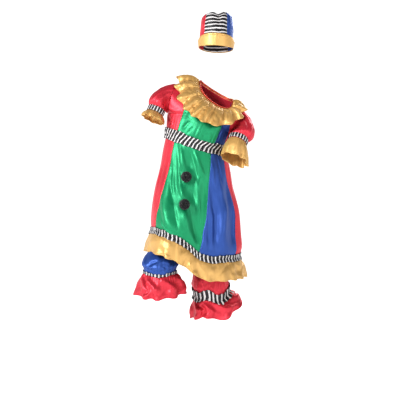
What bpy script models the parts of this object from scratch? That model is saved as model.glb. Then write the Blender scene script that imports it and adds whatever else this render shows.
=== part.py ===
"""Clown costume as worn: a dress with its collar and puff sleeves, bloomers and a small hat.

Metres, +Z up. The origin is the middle of the neck opening, the front faces -Y, and the
wearer's right side is at -X. Every cloth piece is a wall around a surface f(angle, along):
an angle of 0 is the front, +90 degrees is +X. Seams leave a narrow gap between two pieces.
"""

import bmesh
import bpy
import numpy as np
from mathutils import Vector

NAME = "clown_costume"


def named(columns, rows):
    """A table whose columns are looked up by name; the first one is what the others are read at."""
    return dict(zip(columns.split(), np.array(rows, float).T))


# Cloth and seams
CLOTH = 0.0015
SEAM_GAP = 0.0005
STEP = 1e-4

# Empire seam under the chest band: its ring is tilted sideways and forward
SEAM_CENTRE = (-0.0907, 0.0, -0.237)
SEAM_ROLL = np.radians(17)
SEAM_PITCH = np.radians(9)

# Shoulder points, neck points and the two drops of the neckline
SHOULDER_R = np.array((-0.1887, 0.0, 0.0466))
SHOULDER_L = np.array((0.1250, 0.0, -0.0784))
NECK_R = np.array((-0.0735, 0.0, 0.0613))
NECK_L = np.array((0.0823, 0.0, -0.0343))
NECK_FRONT = np.array((-0.006, -0.062, -0.073))
NECK_BACK = np.array((-0.002, 0.050, -0.004))
NECK_SQUARE = 0.65
NECK_SHARE = 0.58
DOWN_THE_NECK = np.array((-0.37, 0.0, -0.93))

# Armholes
ARMPIT = 0.42
ARMHOLE_HALF = 0.052

# Bands: their sizes, how far they stand off the cloth, and the cloth that they cover
CHEST_BAND_HALF = 0.021
CUFF_TALL = 0.027
CUFF_SHARE = 0.15
BAND_OFF = 0.0043
CHEST_BAND_OFF = 0.0036
BAND_RUCHE = 0.0015
BODICE_LENGTH = 0.16
SKIRT_LENGTH = 0.46
HEM_BAND_UP = 0.036
HEM_BAND_DOWN = 0.17
LEG_BAND_START = {"right": 0.97, "left": 0.955}
LEG_BAND_END = {"right": 1.0, "left": 0.97}

# Ruffles: how many waves each has, how deep they are, and where it starts off its seam
HEM_RUFFLE_DROP = 0.100
HEM_RUFFLE_FLARE = 0.034
HEM_RUFFLE_BELLY = 0.007
HEM_WAVES = 22
HEM_WAVE_DEPTH = 0.0085
COLLAR_WAVES = 19
COLLAR_PHASE = 0.0
COLLAR_WAVE_DEPTH = 0.0078
COLLAR_SCALLOP = 0.0085
COLLAR_BELLY = 0.0075
COLLAR_ROOT_REACH = 0.0046
COLLAR_ROOT_LIFT = 0.0044
SLEEVE_WAVES = 8
SLEEVE_WAVE_DEPTH = 0.0085
SLEEVE_RUFFLE_BELLY = 0.006
LEG_WAVES = 9
LEG_RUFFLE_ROOT = {"right": 0.004, "left": 0.02}
LEG_WAVE_DEPTH = 0.011

# Gathers of the bands and of the puff sleeves
CHEST_RUCHES = 16
HEM_RUCHES = 18
CUFF_RUCHES = 7
LEG_RUCHES = 10
PUFF_GATHERS = 8
PUFF_GATHER_DEPTH = 0.0026

# Roundness of the bodice over the chest, the back and under the right arm
CHEST_ROUND = 0.030
BACK_ROUND = 0.020
SIDE_ROUND = 0.016

# Neck binding
BINDING_RADIUS = 0.0022
BINDING_LIFT = 0.0042

# Skirt from the empire seam (0) to the hem seam (1)
SKIRT = named("along x half_width front back", (
    (0.00, -0.0907, 0.152, 0.125, 0.115),
    (0.12, -0.0902, 0.165, 0.138, 0.126),
    (0.35, -0.0916, 0.183, 0.156, 0.145),
    (0.60, -0.0920, 0.2078, 0.176, 0.160),
    (0.80, -0.0941, 0.218, 0.190, 0.170),
    (0.93, -0.0921, 0.222, 0.196, 0.175),
    (1.00, -0.0960, 0.2156, 0.187, 0.166),
))

# Height of the hem seam: the raised knee lifts it at -X
HEM = named("angle height", (
    (-180, -0.732),
    (-135, -0.695),
    (-90, -0.668),
    (-45, -0.674),
    (-27, -0.697),
    (-14, -0.722),
    (-5, -0.752),
    (3, -0.779),
    (12, -0.795),
    (41, -0.800),
    (90, -0.789),
    (135, -0.765),
    (180, -0.732),
))
KNEE_PUSH = 0.062
KNEE_ANGLE = -40
KNEE_SPREAD = 34

# Folds of the skirt: where each starts and ends, its width, and its depth (a ridge is positive)
SKIRT_FOLDS = named("angle_top angle_hem width depth start end", (
    (-42, -16, 4.5, -0.006, 0.00, 0.80),
    (-30, -9, 5.0, 0.007, 0.00, 0.95),
    (-16, 5, 6.5, -0.011, 0.00, 1.03),
    (-2, 12, 5.0, 0.007, 0.10, 1.03),
    (-54, -21, 5.5, -0.008, 0.15, 1.03),
    (-72, -33, 6.0, 0.007, 0.55, 1.03),
    (-84, -44, 5.0, -0.007, 0.60, 1.03),
    (12, 15, 5.0, -0.007, 0.20, 1.03),
    (24, 26, 5.0, -0.010, 0.25, 1.03),
    (40, 37, 7.5, 0.011, 0.15, 1.03),
    (58, 52, 6.0, -0.007, 0.20, 1.03),
    (82, 76, 8.0, 0.008, 0.30, 1.03),
    (104, 101, 8.0, -0.011, 0.15, 1.03),
    (124, 123, 8.0, 0.010, 0.10, 1.03),
    (142, 145, 7.0, -0.012, 0.05, 1.03),
    (163, 166, 8.0, 0.009, 0.15, 1.03),
    (-178, -176, 8.0, -0.013, 0.05, 1.03),
    (-157, -154, 7.0, 0.009, 0.20, 1.03),
    (-138, -136, 8.0, -0.011, 0.10, 1.03),
    (-114, -112, 8.0, 0.009, 0.25, 1.03),
    (-94, -92, 6.0, -0.007, 0.20, 1.03),
))

# Angles of the seams between the skirt's panels, from the empire seam to the hem
SKIRT_SEAMS = named("along right_side centre left_side", (
    (0.00, -45, 29, 60),
    (0.24, -47, 22, 59),
    (0.42, -49, 18, 66),
    (0.54, -51, 15.5, 67),
    (0.70, -55, 12, 63.5),
    (0.85, -59, 7.5, 61.5),
    (1.00, -62, 3.0, 61),
))
BODICE_SEAMS = named("along right_side centre left_side", (
    (0.00, -44, 30, 60),
    (0.50, -42, 31, 56),
    (1.00, -38, 20, 42),
))

# Collar: its depth, its bend away from the neck's plane at the root and at the edge
COLLAR = named("angle depth bend_root bend_edge", (
    (-180, 0.100, -6, 44),
    (-135, 0.102, -4, 50),
    (-90, 0.108, 3, 46),
    (-68, 0.114, -5, 40),
    (-45, 0.130, -10, 35),
    (-22, 0.140, -14, 30),
    (0, 0.140, -14, 22),
    (22, 0.131, -17, 16),
    (45, 0.098, -25, 9),
    (68, 0.070, -29, 7),
    (90, 0.064, -26, 30),
    (135, 0.096, -20, 42),
    (180, 0.100, -6, 44),
))

# Sleeves: the cuff ring, the ruffle's edge ring and the puff
SLEEVES = {
    "right": {
        "cuff": (-0.2815, -0.046, -0.0740),
        "arm": (-0.38, -0.20, -0.90),
        "cuff_radius": 0.039,
        "edge": (-0.3000, -0.066, -0.1320),
        "edge_wide": 0.054,
        "edge_deep": 0.056,
        "away": (-0.88, -0.30, 0.02),
        "puff": 0.040,
    },
    "left": {
        "cuff": (0.1130, -0.106, -0.2220),
        "arm": (-0.337, -0.462, -0.82),
        "cuff_radius": 0.044,
        "edge": (0.0885, -0.148, -0.3300),
        "edge_wide": 0.066,
        "edge_deep": 0.050,
        "away": (0.80, -0.50, -0.22),
        "puff": 0.060,
    },
}

# Bloomers: rings of each leg from the crotch to the leg band
WAIST = (-0.0915, 0.0, -0.390)
PELVIS_HALF_WIDTH = 0.145
PELVIS_HALF_DEPTH = 0.108
PELVIS_BLEND = 0.45
LEG_ROW_CROWDING = 1.6
LEG_COLUMNS = "along x y z half_width half_depth"
LEGS = {
    "right": named(LEG_COLUMNS, (
        (0.00, -0.1790, -0.020, -0.640, 0.0840, 0.100),
        (0.35, -0.2080, -0.060, -0.700, 0.0780, 0.084),
        (0.60, -0.2460, -0.096, -0.756, 0.0700, 0.074),
        (0.78, -0.2600, -0.124, -0.802, 0.0850, 0.087),
        (0.88, -0.2630, -0.138, -0.828, 0.0870, 0.089),
        (0.94, -0.2630, -0.142, -0.840, 0.0800, 0.082),
        (1.00, -0.2630, -0.146, -0.864, 0.0750, 0.077),
    )),
    "left": named(LEG_COLUMNS, (
        (0.00, -0.0060, 0.000, -0.640, 0.0840, 0.106),
        (0.35, -0.0080, 0.005, -0.740, 0.0820, 0.096),
        (0.60, -0.0220, 0.005, -0.850, 0.0800, 0.086),
        (0.78, -0.0270, 0.000, -0.910, 0.0860, 0.088),
        (0.88, -0.0250, 0.000, -0.936, 0.0900, 0.092),
        (0.94, -0.0210, 0.000, -0.948, 0.0880, 0.090),
        (1.00, -0.0180, 0.000, -0.982, 0.0850, 0.087),
    )),
}
LEG_EDGE_COLUMNS = "angle drop reach band_sag"
LEG_EDGES = {
    "right": named(LEG_EDGE_COLUMNS, (
        (-180, 0.108, 0.034, 0.000),
        (-90, 0.102, 0.046, 0.004),
        (-45, 0.108, 0.038, -0.004),
        (0, 0.104, 0.034, -0.014),
        (45, 0.104, 0.036, -0.004),
        (90, 0.094, 0.046, 0.002),
        (180, 0.108, 0.034, 0.000),
    )),
    "left": named(LEG_EDGE_COLUMNS, (
        (-180, 0.100, 0.036, 0.000),
        (-90, 0.118, 0.014, 0.004),
        (-42, 0.094, 0.026, -0.016),
        (-8, 0.098, 0.030, -0.003),
        (22, 0.086, 0.040, -0.026),
        (60, 0.070, 0.056, -0.002),
        (90, 0.047, 0.062, 0.020),
        (180, 0.100, 0.036, 0.000),
    )),
}

# Pompoms on the skirt's green front, as (angle, along, clearance off the cloth)
POMPOMS = {"pompom_upper": (-14.5, 0.355, 0.0012), "pompom_lower": (-15.5, 0.635, 0.0007)}
POMPOM_RADIUS = 0.023
POMPOM_TUFT = 0.0055
POMPOM_BACK = 0.015

# Hat
HAT_BASE = (0.0045, -0.015, 0.226)
HAT_ROLL = np.radians(3)
HAT_PITCH = np.radians(-5)
HAT = named("along half_width half_depth height", (
    (0.00, 0.083, 0.092, 0.000),
    (0.35, 0.082, 0.090, 0.056),
    (0.70, 0.079, 0.086, 0.113),
    (0.92, 0.073, 0.079, 0.149),
    (1.00, 0.064, 0.070, 0.158),
))
HAT_SEAMS = {"front_right": -48, "front_left": 37, "back_left": 132, "back_right": 228}
HAT_DENT = 0.016
HAT_SINK = 0.010
BRIM_ROOT_OFF = 0.0027
BRIM_EDGE_OFF = 0.0070
BRIM_FRONT = 0.061
BRIM_BACK = 0.024

COLOURS = {
    "green": (0.006, 0.370, 0.125),
    "blue": (0.032, 0.102, 0.430),
    "red": (0.660, 0.018, 0.045),
    "gold": (0.680, 0.375, 0.080),
    "stripe": (0.520, 0.520, 0.520),
    "black": (0.012, 0.012, 0.012),
    "piping": (0.520, 0.055, 0.025),
}


def unit(vectors):
    """Vectors scaled to a length of one."""
    vectors = np.asarray(vectors, float)
    return vectors / np.linalg.norm(vectors, axis=-1, keepdims=True)


def curve(table, column, at):
    """A smooth curve through one column of a table, read at the first column's values."""
    keys, values = next(iter(table.values())), table[column]
    slopes = np.gradient(values, keys)
    at = np.clip(at, keys[0], keys[-1])
    i = np.clip(np.searchsorted(keys, at) - 1, 0, len(keys) - 2)
    width = keys[i + 1] - keys[i]
    t = (at - keys[i]) / width
    start = (1 + 2 * t) * (1 - t) ** 2 * values[i] + t * (1 - t) ** 2 * width * slopes[i]
    end = t**2 * (3 - 2 * t) * values[i + 1] + t**2 * (t - 1) * width * slopes[i + 1]
    return start + end


def wrap(angle):
    """An angle in degrees brought between -180 and 180."""
    return (np.asarray(angle, float) + 180) % 360 - 180


def ease(x):
    """A soft step from 0 to 1."""
    x = np.clip(x, 0, 1)
    return x * x * (3 - 2 * x)


def stack(x, y, z):
    """Three arrays joined into points."""
    return np.stack(np.broadcast_arrays(x, y, z), axis=-1)


def uneven(angle, waves, swing=0.55):
    """The phase of waves whose widths vary around a ring."""
    turn = np.radians(angle)
    return waves * turn + swing * (np.sin(3 * turn + 0.7) + 0.8 * np.sin(5 * turn + 2.1))


def seam_ring(angle):
    """The empire seam: an oval, tilted by the roll and the pitch."""
    turn = np.radians(angle)
    depth = np.where(np.cos(turn) > 0, SKIRT["front"][0], SKIRT["back"][0])
    across = SKIRT["half_width"][0] * np.sin(turn)
    out = -depth * np.cos(turn)
    x = SEAM_CENTRE[0] + across * np.cos(SEAM_ROLL)
    z = SEAM_CENTRE[2] - across * np.sin(SEAM_ROLL) + out * np.sin(SEAM_PITCH)
    return stack(x, out * np.cos(SEAM_PITCH), z)


def folds(angle, along):
    """The sum of the skirt's folds: each is a soft bump across a line that runs down the cloth."""
    total = np.zeros(np.broadcast(angle, along).shape)
    for angle_top, angle_hem, width, depth, start, end in zip(*SKIRT_FOLDS.values()):
        centre = angle_top + (angle_hem - angle_top) * along
        across = wrap(angle - centre) / width
        fade = ease((along - start) / 0.25) * ease((end - along) / 0.25)
        total = total + depth * fade * np.exp(-(across**2))
    for pompom_angle, pompom_along, _ in POMPOMS.values():
        near = (wrap(angle - pompom_angle) / 13) ** 4 + ((along - pompom_along) / 0.095) ** 4
        total = total * (1 - np.exp(-near))
    return total


def skirt(angle, along):
    """Ovals that widen from the empire seam to the hem, pushed out by the knee and the folds."""
    turn = np.radians(angle)
    half_width = curve(SKIRT, "half_width", along)
    front, back = curve(SKIRT, "front", along), curve(SKIRT, "back", along)
    depth = np.where(np.cos(turn) > 0, front, back)
    swell = folds(angle, along)
    knee = np.exp(-((wrap(angle - KNEE_ANGLE) / KNEE_SPREAD) ** 2)) * ease((along - 0.3) / 0.65)
    x = curve(SKIRT, "x", along) + (half_width * np.cos(SEAM_ROLL * (1 - along)) + swell) * np.sin(turn)
    y = -(depth + swell) * np.cos(turn) - KNEE_PUSH * knee
    top = seam_ring(angle)[..., 2]
    z = top + (curve(HEM, "height", wrap(angle)) - top) * along
    return stack(x, y, z)


def neck_ring(angle):
    """The neck edge: an oval from side to side, squarer and deeper in front."""
    turn = np.radians(angle)
    cos = np.cos(turn)[..., None]
    drop = np.where(cos > 0, NECK_FRONT, NECK_BACK)
    reach = np.abs(cos) ** np.where(cos > 0, NECK_SQUARE, 1)
    return (NECK_R + NECK_L) / 2 + (NECK_L - NECK_R) / 2 * np.sin(turn)[..., None] + drop * reach


def bodice_top(angle):
    """The upper edge of the front or back: a shoulder seam, the neck edge, a shoulder seam."""
    across = np.sin(np.radians(angle))
    front = np.cos(np.radians(angle)) > 0
    neck_turn = np.degrees(np.arcsin(np.clip(across / NECK_SHARE, -1, 1)))
    neck = neck_ring(np.where(front, neck_turn, 180 - neck_turn))
    along = np.clip((np.abs(across) - NECK_SHARE) / (1 - NECK_SHARE), 0, 1)[..., None]
    right = NECK_R + (SHOULDER_R - NECK_R) * along
    left = NECK_L + (SHOULDER_L - NECK_L) * along
    shoulder = np.where(across[..., None] < 0, right, left)
    return np.where(along > 0, shoulder, neck)


def armhole_half(along):
    """Half the width of the armhole at a height: an oval from the armpit to the shoulder."""
    part = np.clip((along - ARMPIT) / (1 - ARMPIT), 0, 1)
    return 2 * ARMHOLE_HALF * np.sqrt(part * (1 - part))


def bodice(angle, along):
    """Columns from the empire seam to the top edge, rounded over the chest and cut at the armholes."""
    cos = np.cos(np.radians(angle))
    side = np.where(cos > 0, -1, 1)
    cos = np.abs(cos)
    low, top = seam_ring(angle), bodice_top(angle)
    lean = along**1.3
    chest = np.where(side < 0, CHEST_ROUND, BACK_ROUND) * np.sin(np.pi * along) * cos
    y = low[..., 1] * (1 - lean) + top[..., 1] * lean
    y = y + side * (chest + armhole_half(along) * (1 - cos))
    swell = SIDE_ROUND * np.sin(np.pi * along) * np.clip(np.sin(np.radians(angle)), -1, 0.3) ** 3
    x = low[..., 0] + (top[..., 0] - low[..., 0]) * along + swell
    z = low[..., 2] + (top[..., 2] - low[..., 2]) * along
    return stack(x, y, z)


def collar(angle, along):
    """The neck edge carried outward along an arc, with waves that grow towards the edge."""
    step = 1e-2
    ring = neck_ring(angle)
    middle = (NECK_R + NECK_L) / 2
    tangent = unit(neck_ring(angle + step) - neck_ring(angle - step))
    radial = ring - middle
    radial = unit(radial - (radial * tangent).sum(-1, keepdims=True) * tangent)
    down = DOWN_THE_NECK - (DOWN_THE_NECK * radial).sum(-1, keepdims=True) * radial
    down = unit(down - (down * tangent).sum(-1, keepdims=True) * tangent)
    turn = wrap(angle)
    depth = curve(COLLAR, "depth", turn)
    root, edge = np.radians(curve(COLLAR, "bend_root", turn)), np.radians(curve(COLLAR, "bend_edge", turn))
    middle_bend = root + (edge - root) * along / 2
    reach = (COLLAR_ROOT_REACH + depth * along)[..., None]
    bend = middle_bend[..., None]
    base = ring + reach * (np.cos(bend) * radial + np.sin(bend) * down)
    wave = np.cos(uneven(angle, COLLAR_WAVES) + COLLAR_PHASE)
    belly = COLLAR_BELLY * np.sin(np.pi * along)
    lift = COLLAR_ROOT_LIFT + belly + COLLAR_WAVE_DEPTH * along**0.8 * (wave + 0.55)
    out = -np.cos(bend) * down + np.sin(bend) * radial
    scallop = (COLLAR_SCALLOP * along**3 * wave)[..., None]
    return base + lift[..., None] * out + scallop * (np.cos(bend) * radial + np.sin(bend) * down)


def arm_frame(sleeve):
    """Two directions across the arm: outward to the arm's outer side, and forward."""
    arm = unit(sleeve["arm"])
    outer = unit((-arm[2], 0.0, arm[0]))
    if sleeve is SLEEVES["right"]:
        outer = -outer
    front = unit(np.cross(arm, outer))
    if front[1] > 0:
        front = -front
    return outer, front


def armhole(side, angle):
    """The armhole's edge: 0 is the armpit, 90 the front, 180 the shoulder point."""
    turn = np.radians(angle)
    along = ARMPIT + (1 - ARMPIT) * (1 - np.cos(turn)) / 2
    edge = -90 if side == "right" else 90
    ring = bodice(np.full(np.shape(along), float(edge)), along)
    away = -0.0011 if side == "right" else 0.0011
    return stack(ring[..., 0] + away, -ARMHOLE_HALF * np.sin(turn), ring[..., 2])


def cuff_ring(side, angle):
    """The round ring where the sleeve is gathered."""
    sleeve = SLEEVES[side]
    outer, front = arm_frame(sleeve)
    turn = np.radians(angle)[..., None]
    across = -np.cos(turn) * outer + np.sin(turn) * front
    return np.array(sleeve["cuff"]) + sleeve["cuff_radius"] * across


def sleeve_puff(side, angle, along):
    """From the armhole to the cuff (0 to 1) on a curve that leaves away from the body, then down the cuff."""
    sleeve = SLEEVES[side]
    outer, front = arm_frame(sleeve)
    arm, away = unit(sleeve["arm"]), unit(sleeve["away"])
    turn = np.radians(angle)
    share = ((1 - np.cos(turn)) / 2)[..., None]
    radial = -np.cos(turn)[..., None] * outer + np.sin(turn)[..., None] * front
    start, end = armhole(side, angle), cuff_ring(side, angle)
    leave = start + away * (0.016 + 0.034 * share)
    arrive = end + sleeve["puff"] * (0.10 + 0.90 * share) * radial - arm * (0.012 + 0.028 * share)
    t = np.clip(along, 0, 1)[..., None]
    curve = (1 - t) ** 3 * start + 3 * (1 - t) ** 2 * t * leave + 3 * (1 - t) * t**2 * arrive + t**3 * end
    ripple = PUFF_GATHER_DEPTH * np.cos(uneven(angle, PUFF_GATHERS))[..., None]
    gather = ripple * share * np.sin(np.pi * t)
    cuff = end + arm * (CUFF_TALL * (along - 1) / CUFF_SHARE)[..., None]
    return np.where((along > 1)[..., None], cuff, curve + gather * radial)


def sleeve_ruffle(side, angle, along):
    """From the cuff ring to the wider edge ring, in deep uneven waves."""
    sleeve = SLEEVES[side]
    outer, front = arm_frame(sleeve)
    turn = np.radians(angle)[..., None]
    start = cuff_ring(side, angle) + unit(sleeve["arm"]) * CUFF_TALL
    wide = sleeve["edge_wide"] * -np.cos(turn) * outer
    end = np.array(sleeve["edge"]) + wide + sleeve["edge_deep"] * np.sin(turn) * front
    part = along[..., None]
    base = start + (end - start) * part
    out = -np.cos(turn) * outer + np.sin(turn) * front
    wave = np.cos(uneven(angle, SLEEVE_WAVES, 0.4))
    calm = 0.35 + 0.65 * (1 - np.cos(np.radians(angle))) / 2
    lift = SLEEVE_RUFFLE_BELLY * np.sin(np.pi * along) + SLEEVE_WAVE_DEPTH * along * wave * calm
    return base + lift[..., None] * out


def hem_ruffle(angle, along):
    """From the hem seam down and outward, in uneven waves."""
    turn = np.radians(angle)
    ring = skirt(angle, np.ones(np.shape(along)))
    wave = np.cos(uneven(angle, HEM_WAVES))
    belly = HEM_RUFFLE_BELLY * np.sin(np.pi * along)
    flare = HEM_RUFFLE_FLARE * along + belly + HEM_WAVE_DEPTH * along**0.8 * wave
    drop = HEM_RUFFLE_DROP * along * (1 + 0.03 * wave)
    return ring + stack(flare * np.sin(turn), -flare * np.cos(turn), -drop)


def bloomer(side, angle, along):
    """Half of the pelvis (-1 to 0) turning into one leg (0 to 1); 0 degrees is the centre seam or inseam."""
    sign = -1 if side == "right" else 1
    turn = np.radians(angle)
    rows = LEGS[side]
    low = np.clip(along, 0, 1)
    x = curve(rows, "x", low) - sign * curve(rows, "half_width", low) * np.cos(turn)
    y = curve(rows, "y", low) - curve(rows, "half_depth", low) * np.sin(turn)
    sag = curve(LEG_EDGES[side], "band_sag", wrap(sign * (angle - 90)))
    leg = stack(x, y, curve(rows, "z", low) + sag * ease((low - 0.7) / 0.24))
    high = np.clip(-along, 0, 1)
    half = turn / 2
    width = PELVIS_HALF_WIDTH + 0.022 * np.sin(np.pi * high * 0.75) - 0.020 * high
    deep = PELVIS_HALF_DEPTH + 0.014 * np.sin(np.pi * high)
    height = rows["z"][0] + (WAIST[2] - rows["z"][0]) * high
    centre_seam = np.sqrt(np.clip(1 - (1 - high) ** 3, 0, 1))
    pelvis_x = WAIST[0] + sign * width * np.sin(half)
    pelvis_y = WAIST[1] - deep * np.cos(half) * (1 + centre_seam) / 2
    part = ease(high / PELVIS_BLEND)
    across = bloomer_top(side, turn)
    blend = stack(
        across[..., 0] * (1 - part) + pelvis_x * part,
        across[..., 1] * (1 - part) + pelvis_y * part,
        height,
    )
    return np.where((along < 0)[..., None], blend, leg)


def bloomer_top(side, turn):
    """The first ring of the leg, at the crotch."""
    sign = -1 if side == "right" else 1
    first = {column: values[0] for column, values in LEGS[side].items()}
    x = first["x"] - sign * first["half_width"] * np.cos(turn)
    return stack(x, first["y"] - first["half_depth"] * np.sin(turn), first["z"])


def leg_angle(side, angle):
    """The angle from the inseam, for an angle from the front."""
    return 90 + angle if side == "left" else 90 - angle


def leg_ruffle(side, angle, along):
    """From the leg's gathered edge down and outward, in broad uneven waves."""
    turn = np.radians(angle)
    ring = bloomer(side, leg_angle(side, angle), np.ones(np.shape(along)))
    rows = LEG_EDGES[side]
    spin = wrap(angle)
    wave = np.cos(uneven(angle, LEG_WAVES, 0.5) + (0.9 if side == "left" else 0.0))
    reach = curve(rows, "reach", spin) * (1 - (1 - along) ** 2) + LEG_WAVE_DEPTH * along * wave
    drop = curve(rows, "drop", spin) * along * (1 + 0.035 * wave)
    return ring + stack(reach * np.sin(turn), -reach * np.cos(turn), -drop)


def hat_frame():
    """The hat's own directions: across, back and up."""
    across = np.array((np.cos(HAT_ROLL), 0.0, -np.sin(HAT_ROLL)))
    back = np.array((0.0, np.cos(HAT_PITCH), np.sin(HAT_PITCH)))
    return across, back, np.cross(across, back)


def hat_point(x, y, z):
    """A point given in the hat's own directions."""
    across, back, up = hat_frame()
    return np.array(HAT_BASE) + x[..., None] * across + y[..., None] * back + z[..., None] * up


def hat_side(angle, along):
    """The crown: ovals that narrow upwards, with a dent at the top of the front."""
    turn = np.radians(angle)
    dent = np.exp(-((wrap(angle - 2) / 15) ** 2)) * ease((along - 0.45) / 0.55)
    slump = 0.004 * np.sin(2 * turn + 0.6) * along**2
    width, depth = curve(HAT, "half_width", along), curve(HAT, "half_depth", along) - HAT_DENT * dent
    height = curve(HAT, "height", along) - 0.5 * HAT_DENT * dent + slump
    return hat_point(width * np.sin(turn), -depth * np.cos(turn), height)


def hat_top(angle, along):
    """The tip: the crown's upper edge drawn in to a sunken middle."""
    edge = hat_side(angle, np.ones(np.shape(along)))
    _, _, up = hat_frame()
    middle = np.array(HAT_BASE) + (HAT["height"][-1] - HAT_SINK) * up
    swell = HAT_SINK * np.sin(np.pi * np.sqrt(along))
    return middle + (edge - middle) * along[..., None] + swell[..., None] * up


def hat_brim(angle, along):
    """The turned-up brim: highest in front, standing off the crown at its upper edge."""
    turn = np.radians(angle)
    tall = BRIM_BACK + (BRIM_FRONT - BRIM_BACK) * ease((np.cos(turn) + 0.25) / 1.25)
    height = tall * along - 0.004 - 0.010 * ease(np.cos(turn))
    off = BRIM_ROOT_OFF + (BRIM_EDGE_OFF - BRIM_ROOT_OFF) * along
    width = curve(HAT, "half_width", np.clip(height, 0, None) / HAT["height"][-1])
    depth = curve(HAT, "half_depth", np.clip(height, 0, None) / HAT["height"][-1])
    return hat_point((width + off) * np.sin(turn), -(depth + off) * np.cos(turn), height)


def normals(surface, angle, along):
    """The unit normal of a surface, from four points a short step away."""
    side = surface(angle + 0.05, along) - surface(angle - 0.05, along)
    low = np.clip(along - STEP, along.min(), along.max() - 2 * STEP)
    rise = surface(angle, low + 2 * STEP) - surface(angle, low)
    return unit(np.cross(side, rise))


def mesh_object(name, points, faces, colour):
    """A named object with its own cloth material, in the costume's collection."""
    mesh = bpy.data.meshes.new(name)
    mesh.from_pydata(points.tolist(), [], faces)
    mesh.shade_smooth()
    material = bpy.data.materials.new(name)
    material.use_nodes = True
    shader = material.node_tree.nodes["Principled BSDF"]
    shader.inputs["Base Color"].default_value = (*COLOURS[colour], 1.0)
    shader.inputs["Roughness"].default_value = 0.9 if colour == "black" else 0.38
    shader.inputs["Metallic"].default_value = 0.0
    mesh.materials.append(material)
    piece = bpy.data.objects.new(name, mesh)
    bpy.data.collections[NAME].objects.link(piece)
    return piece


def quads(rows, columns, closed):
    """The faces of a grid of points, as four-point rings."""
    i, j = np.meshgrid(np.arange(rows - 1), np.arange(columns - (not closed)), indexing="ij")
    right = (j + 1) % columns
    corners = (i * columns + j, i * columns + right, (i + 1) * columns + right, (i + 1) * columns + j)
    return np.stack(corners, -1).reshape(-1, 4)


def split(faces, points):
    """Each four-point face of a grid as two triangles, cut along its shorter diagonal."""
    a, b, c, d = faces.T
    first = np.linalg.norm(points[a] - points[c], axis=-1) <= np.linalg.norm(points[b] - points[d], axis=-1)
    one = np.where(first, (a, b, c), (a, b, d))
    two = np.where(first, (a, c, d), (b, c, d))
    return np.concatenate([one.T, two.T])


def rim(rows, columns, closed):
    """The grid's edge as runs of points, each with the cloth at its left."""
    bottom = np.arange(columns)
    top = (rows - 1) * columns + np.arange(columns)
    if closed:
        return [np.append(bottom, bottom[0]), np.append(top, top[0])[::-1]]
    right = np.arange(rows) * columns + columns - 1
    left = np.arange(rows) * columns
    return [bottom, right, top[::-1], left[::-1]]


def wall(name, outside, inside, closed, colour):
    """A cloth wall between two grids of points; the first one faces outward."""
    rows, columns = outside.shape[:2]
    count = rows * columns
    points = np.concatenate([outside.reshape(-1, 3), inside.reshape(-1, 3)])
    outer = split(quads(rows, columns, closed), points)
    faces = outer.tolist() + (outer[:, ::-1] + count).tolist()
    for run in rim(rows, columns, closed):
        a, b = run[:-1], run[1:]
        faces += np.stack([b, a, a + count, b + count], -1).tolist()
    return mesh_object(name, points, faces, colour)


def panel(name, surface, left, right, low, high, columns, rows, colour, thick=CLOTH):
    """A piece of cloth between two seams of a surface; left and right give each seam's angle."""
    along = np.linspace(low, high, rows + 1)[:, None] * np.ones(columns + 1)
    share = np.linspace(0, 1, columns + 1)[None, :]
    start, end = left(along[:, :1]), right(along[:, :1])
    angle = start + (end - start) * share
    turning = np.linalg.norm(surface(angle + 0.5, along) - surface(angle - 0.5, along), axis=-1)
    squeeze = SEAM_GAP / 2 / np.maximum(turning, 1e-4)
    angle = angle + squeeze * (1 - 2 * share)
    outside = surface(angle, along)
    inside = outside - thick * normals(surface, angle, along)
    return wall(name, outside, inside, False, colour)


def tube(name, surface, low, high, columns, rows, colour, thick=CLOTH, flip=False):
    """A closed ring of cloth between two heights of a surface."""
    angle = np.linspace(-180, 180, columns + 1)[None, :-1] * np.ones((rows + 1, 1))
    along = np.linspace(low, high, rows + 1)[:, None] * np.ones(columns)
    outside = surface(angle, along)
    facing = normals(surface, angle, along)
    inside = outside - thick * facing * (-1 if flip else 1)
    if flip:
        outside, inside = outside[:, ::-1], inside[:, ::-1]
    return wall(name, outside, inside, True, colour)


def moved_out(surface, distance):
    """A surface made from another one's points, moved out along its normals."""

    def outer(angle, along):
        step = np.clip(along, 0.002, 0.998)
        facing = unit(
            np.cross(
                surface(angle + 0.5, step) - surface(angle - 0.5, step),
                surface(angle, step + STEP) - surface(angle, step - STEP),
            )
        )
        return surface(angle, along) + distance(angle, along)[..., None] * facing

    return outer


def constant(value):
    """A seam at one angle."""
    return lambda along: np.full(np.shape(along), float(value))


def seam(table, column):
    """A seam whose angle follows a table."""
    return lambda along: curve(table, column, along)


def build_skirt():
    """The five skirt panels between the empire seam and the hem seam."""

    def surface(angle, along):
        return skirt(angle, 1 - along)

    def down(column):
        return lambda along: curve(SKIRT_SEAMS, column, 1 - along)

    between = [down(column) for column in ("right_side", "centre", "left_side")]
    edges = [constant(-90), *between, constant(90), constant(270)]
    names = ("skirt_side_right", "skirt_green", "skirt_blue", "skirt_side_left", "skirt_back")
    colours = ("red", "green", "blue", "red", "red")
    for i, (name, colour, columns) in enumerate(zip(names, colours, (4, 14, 9, 4, 18))):
        panel(name, surface, edges[i], edges[i + 1], 0.001, 0.9985, columns, 11, colour)


def build_bodice():
    """The four front pieces and the back."""
    between = [seam(BODICE_SEAMS, column) for column in ("right_side", "centre", "left_side")]
    edges = [constant(-90), *between, constant(90), constant(270)]
    names = ("bodice_side_right", "bodice_green", "bodice_blue", "bodice_side_left", "bodice_back")
    colours = ("red", "green", "blue", "red", "red")
    for i, (name, colour, columns) in enumerate(zip(names, colours, (4, 9, 4, 4, 13))):
        panel(name, bodice, edges[i], edges[i + 1], 0.0015, 0.996, columns, 8, colour)


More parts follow.
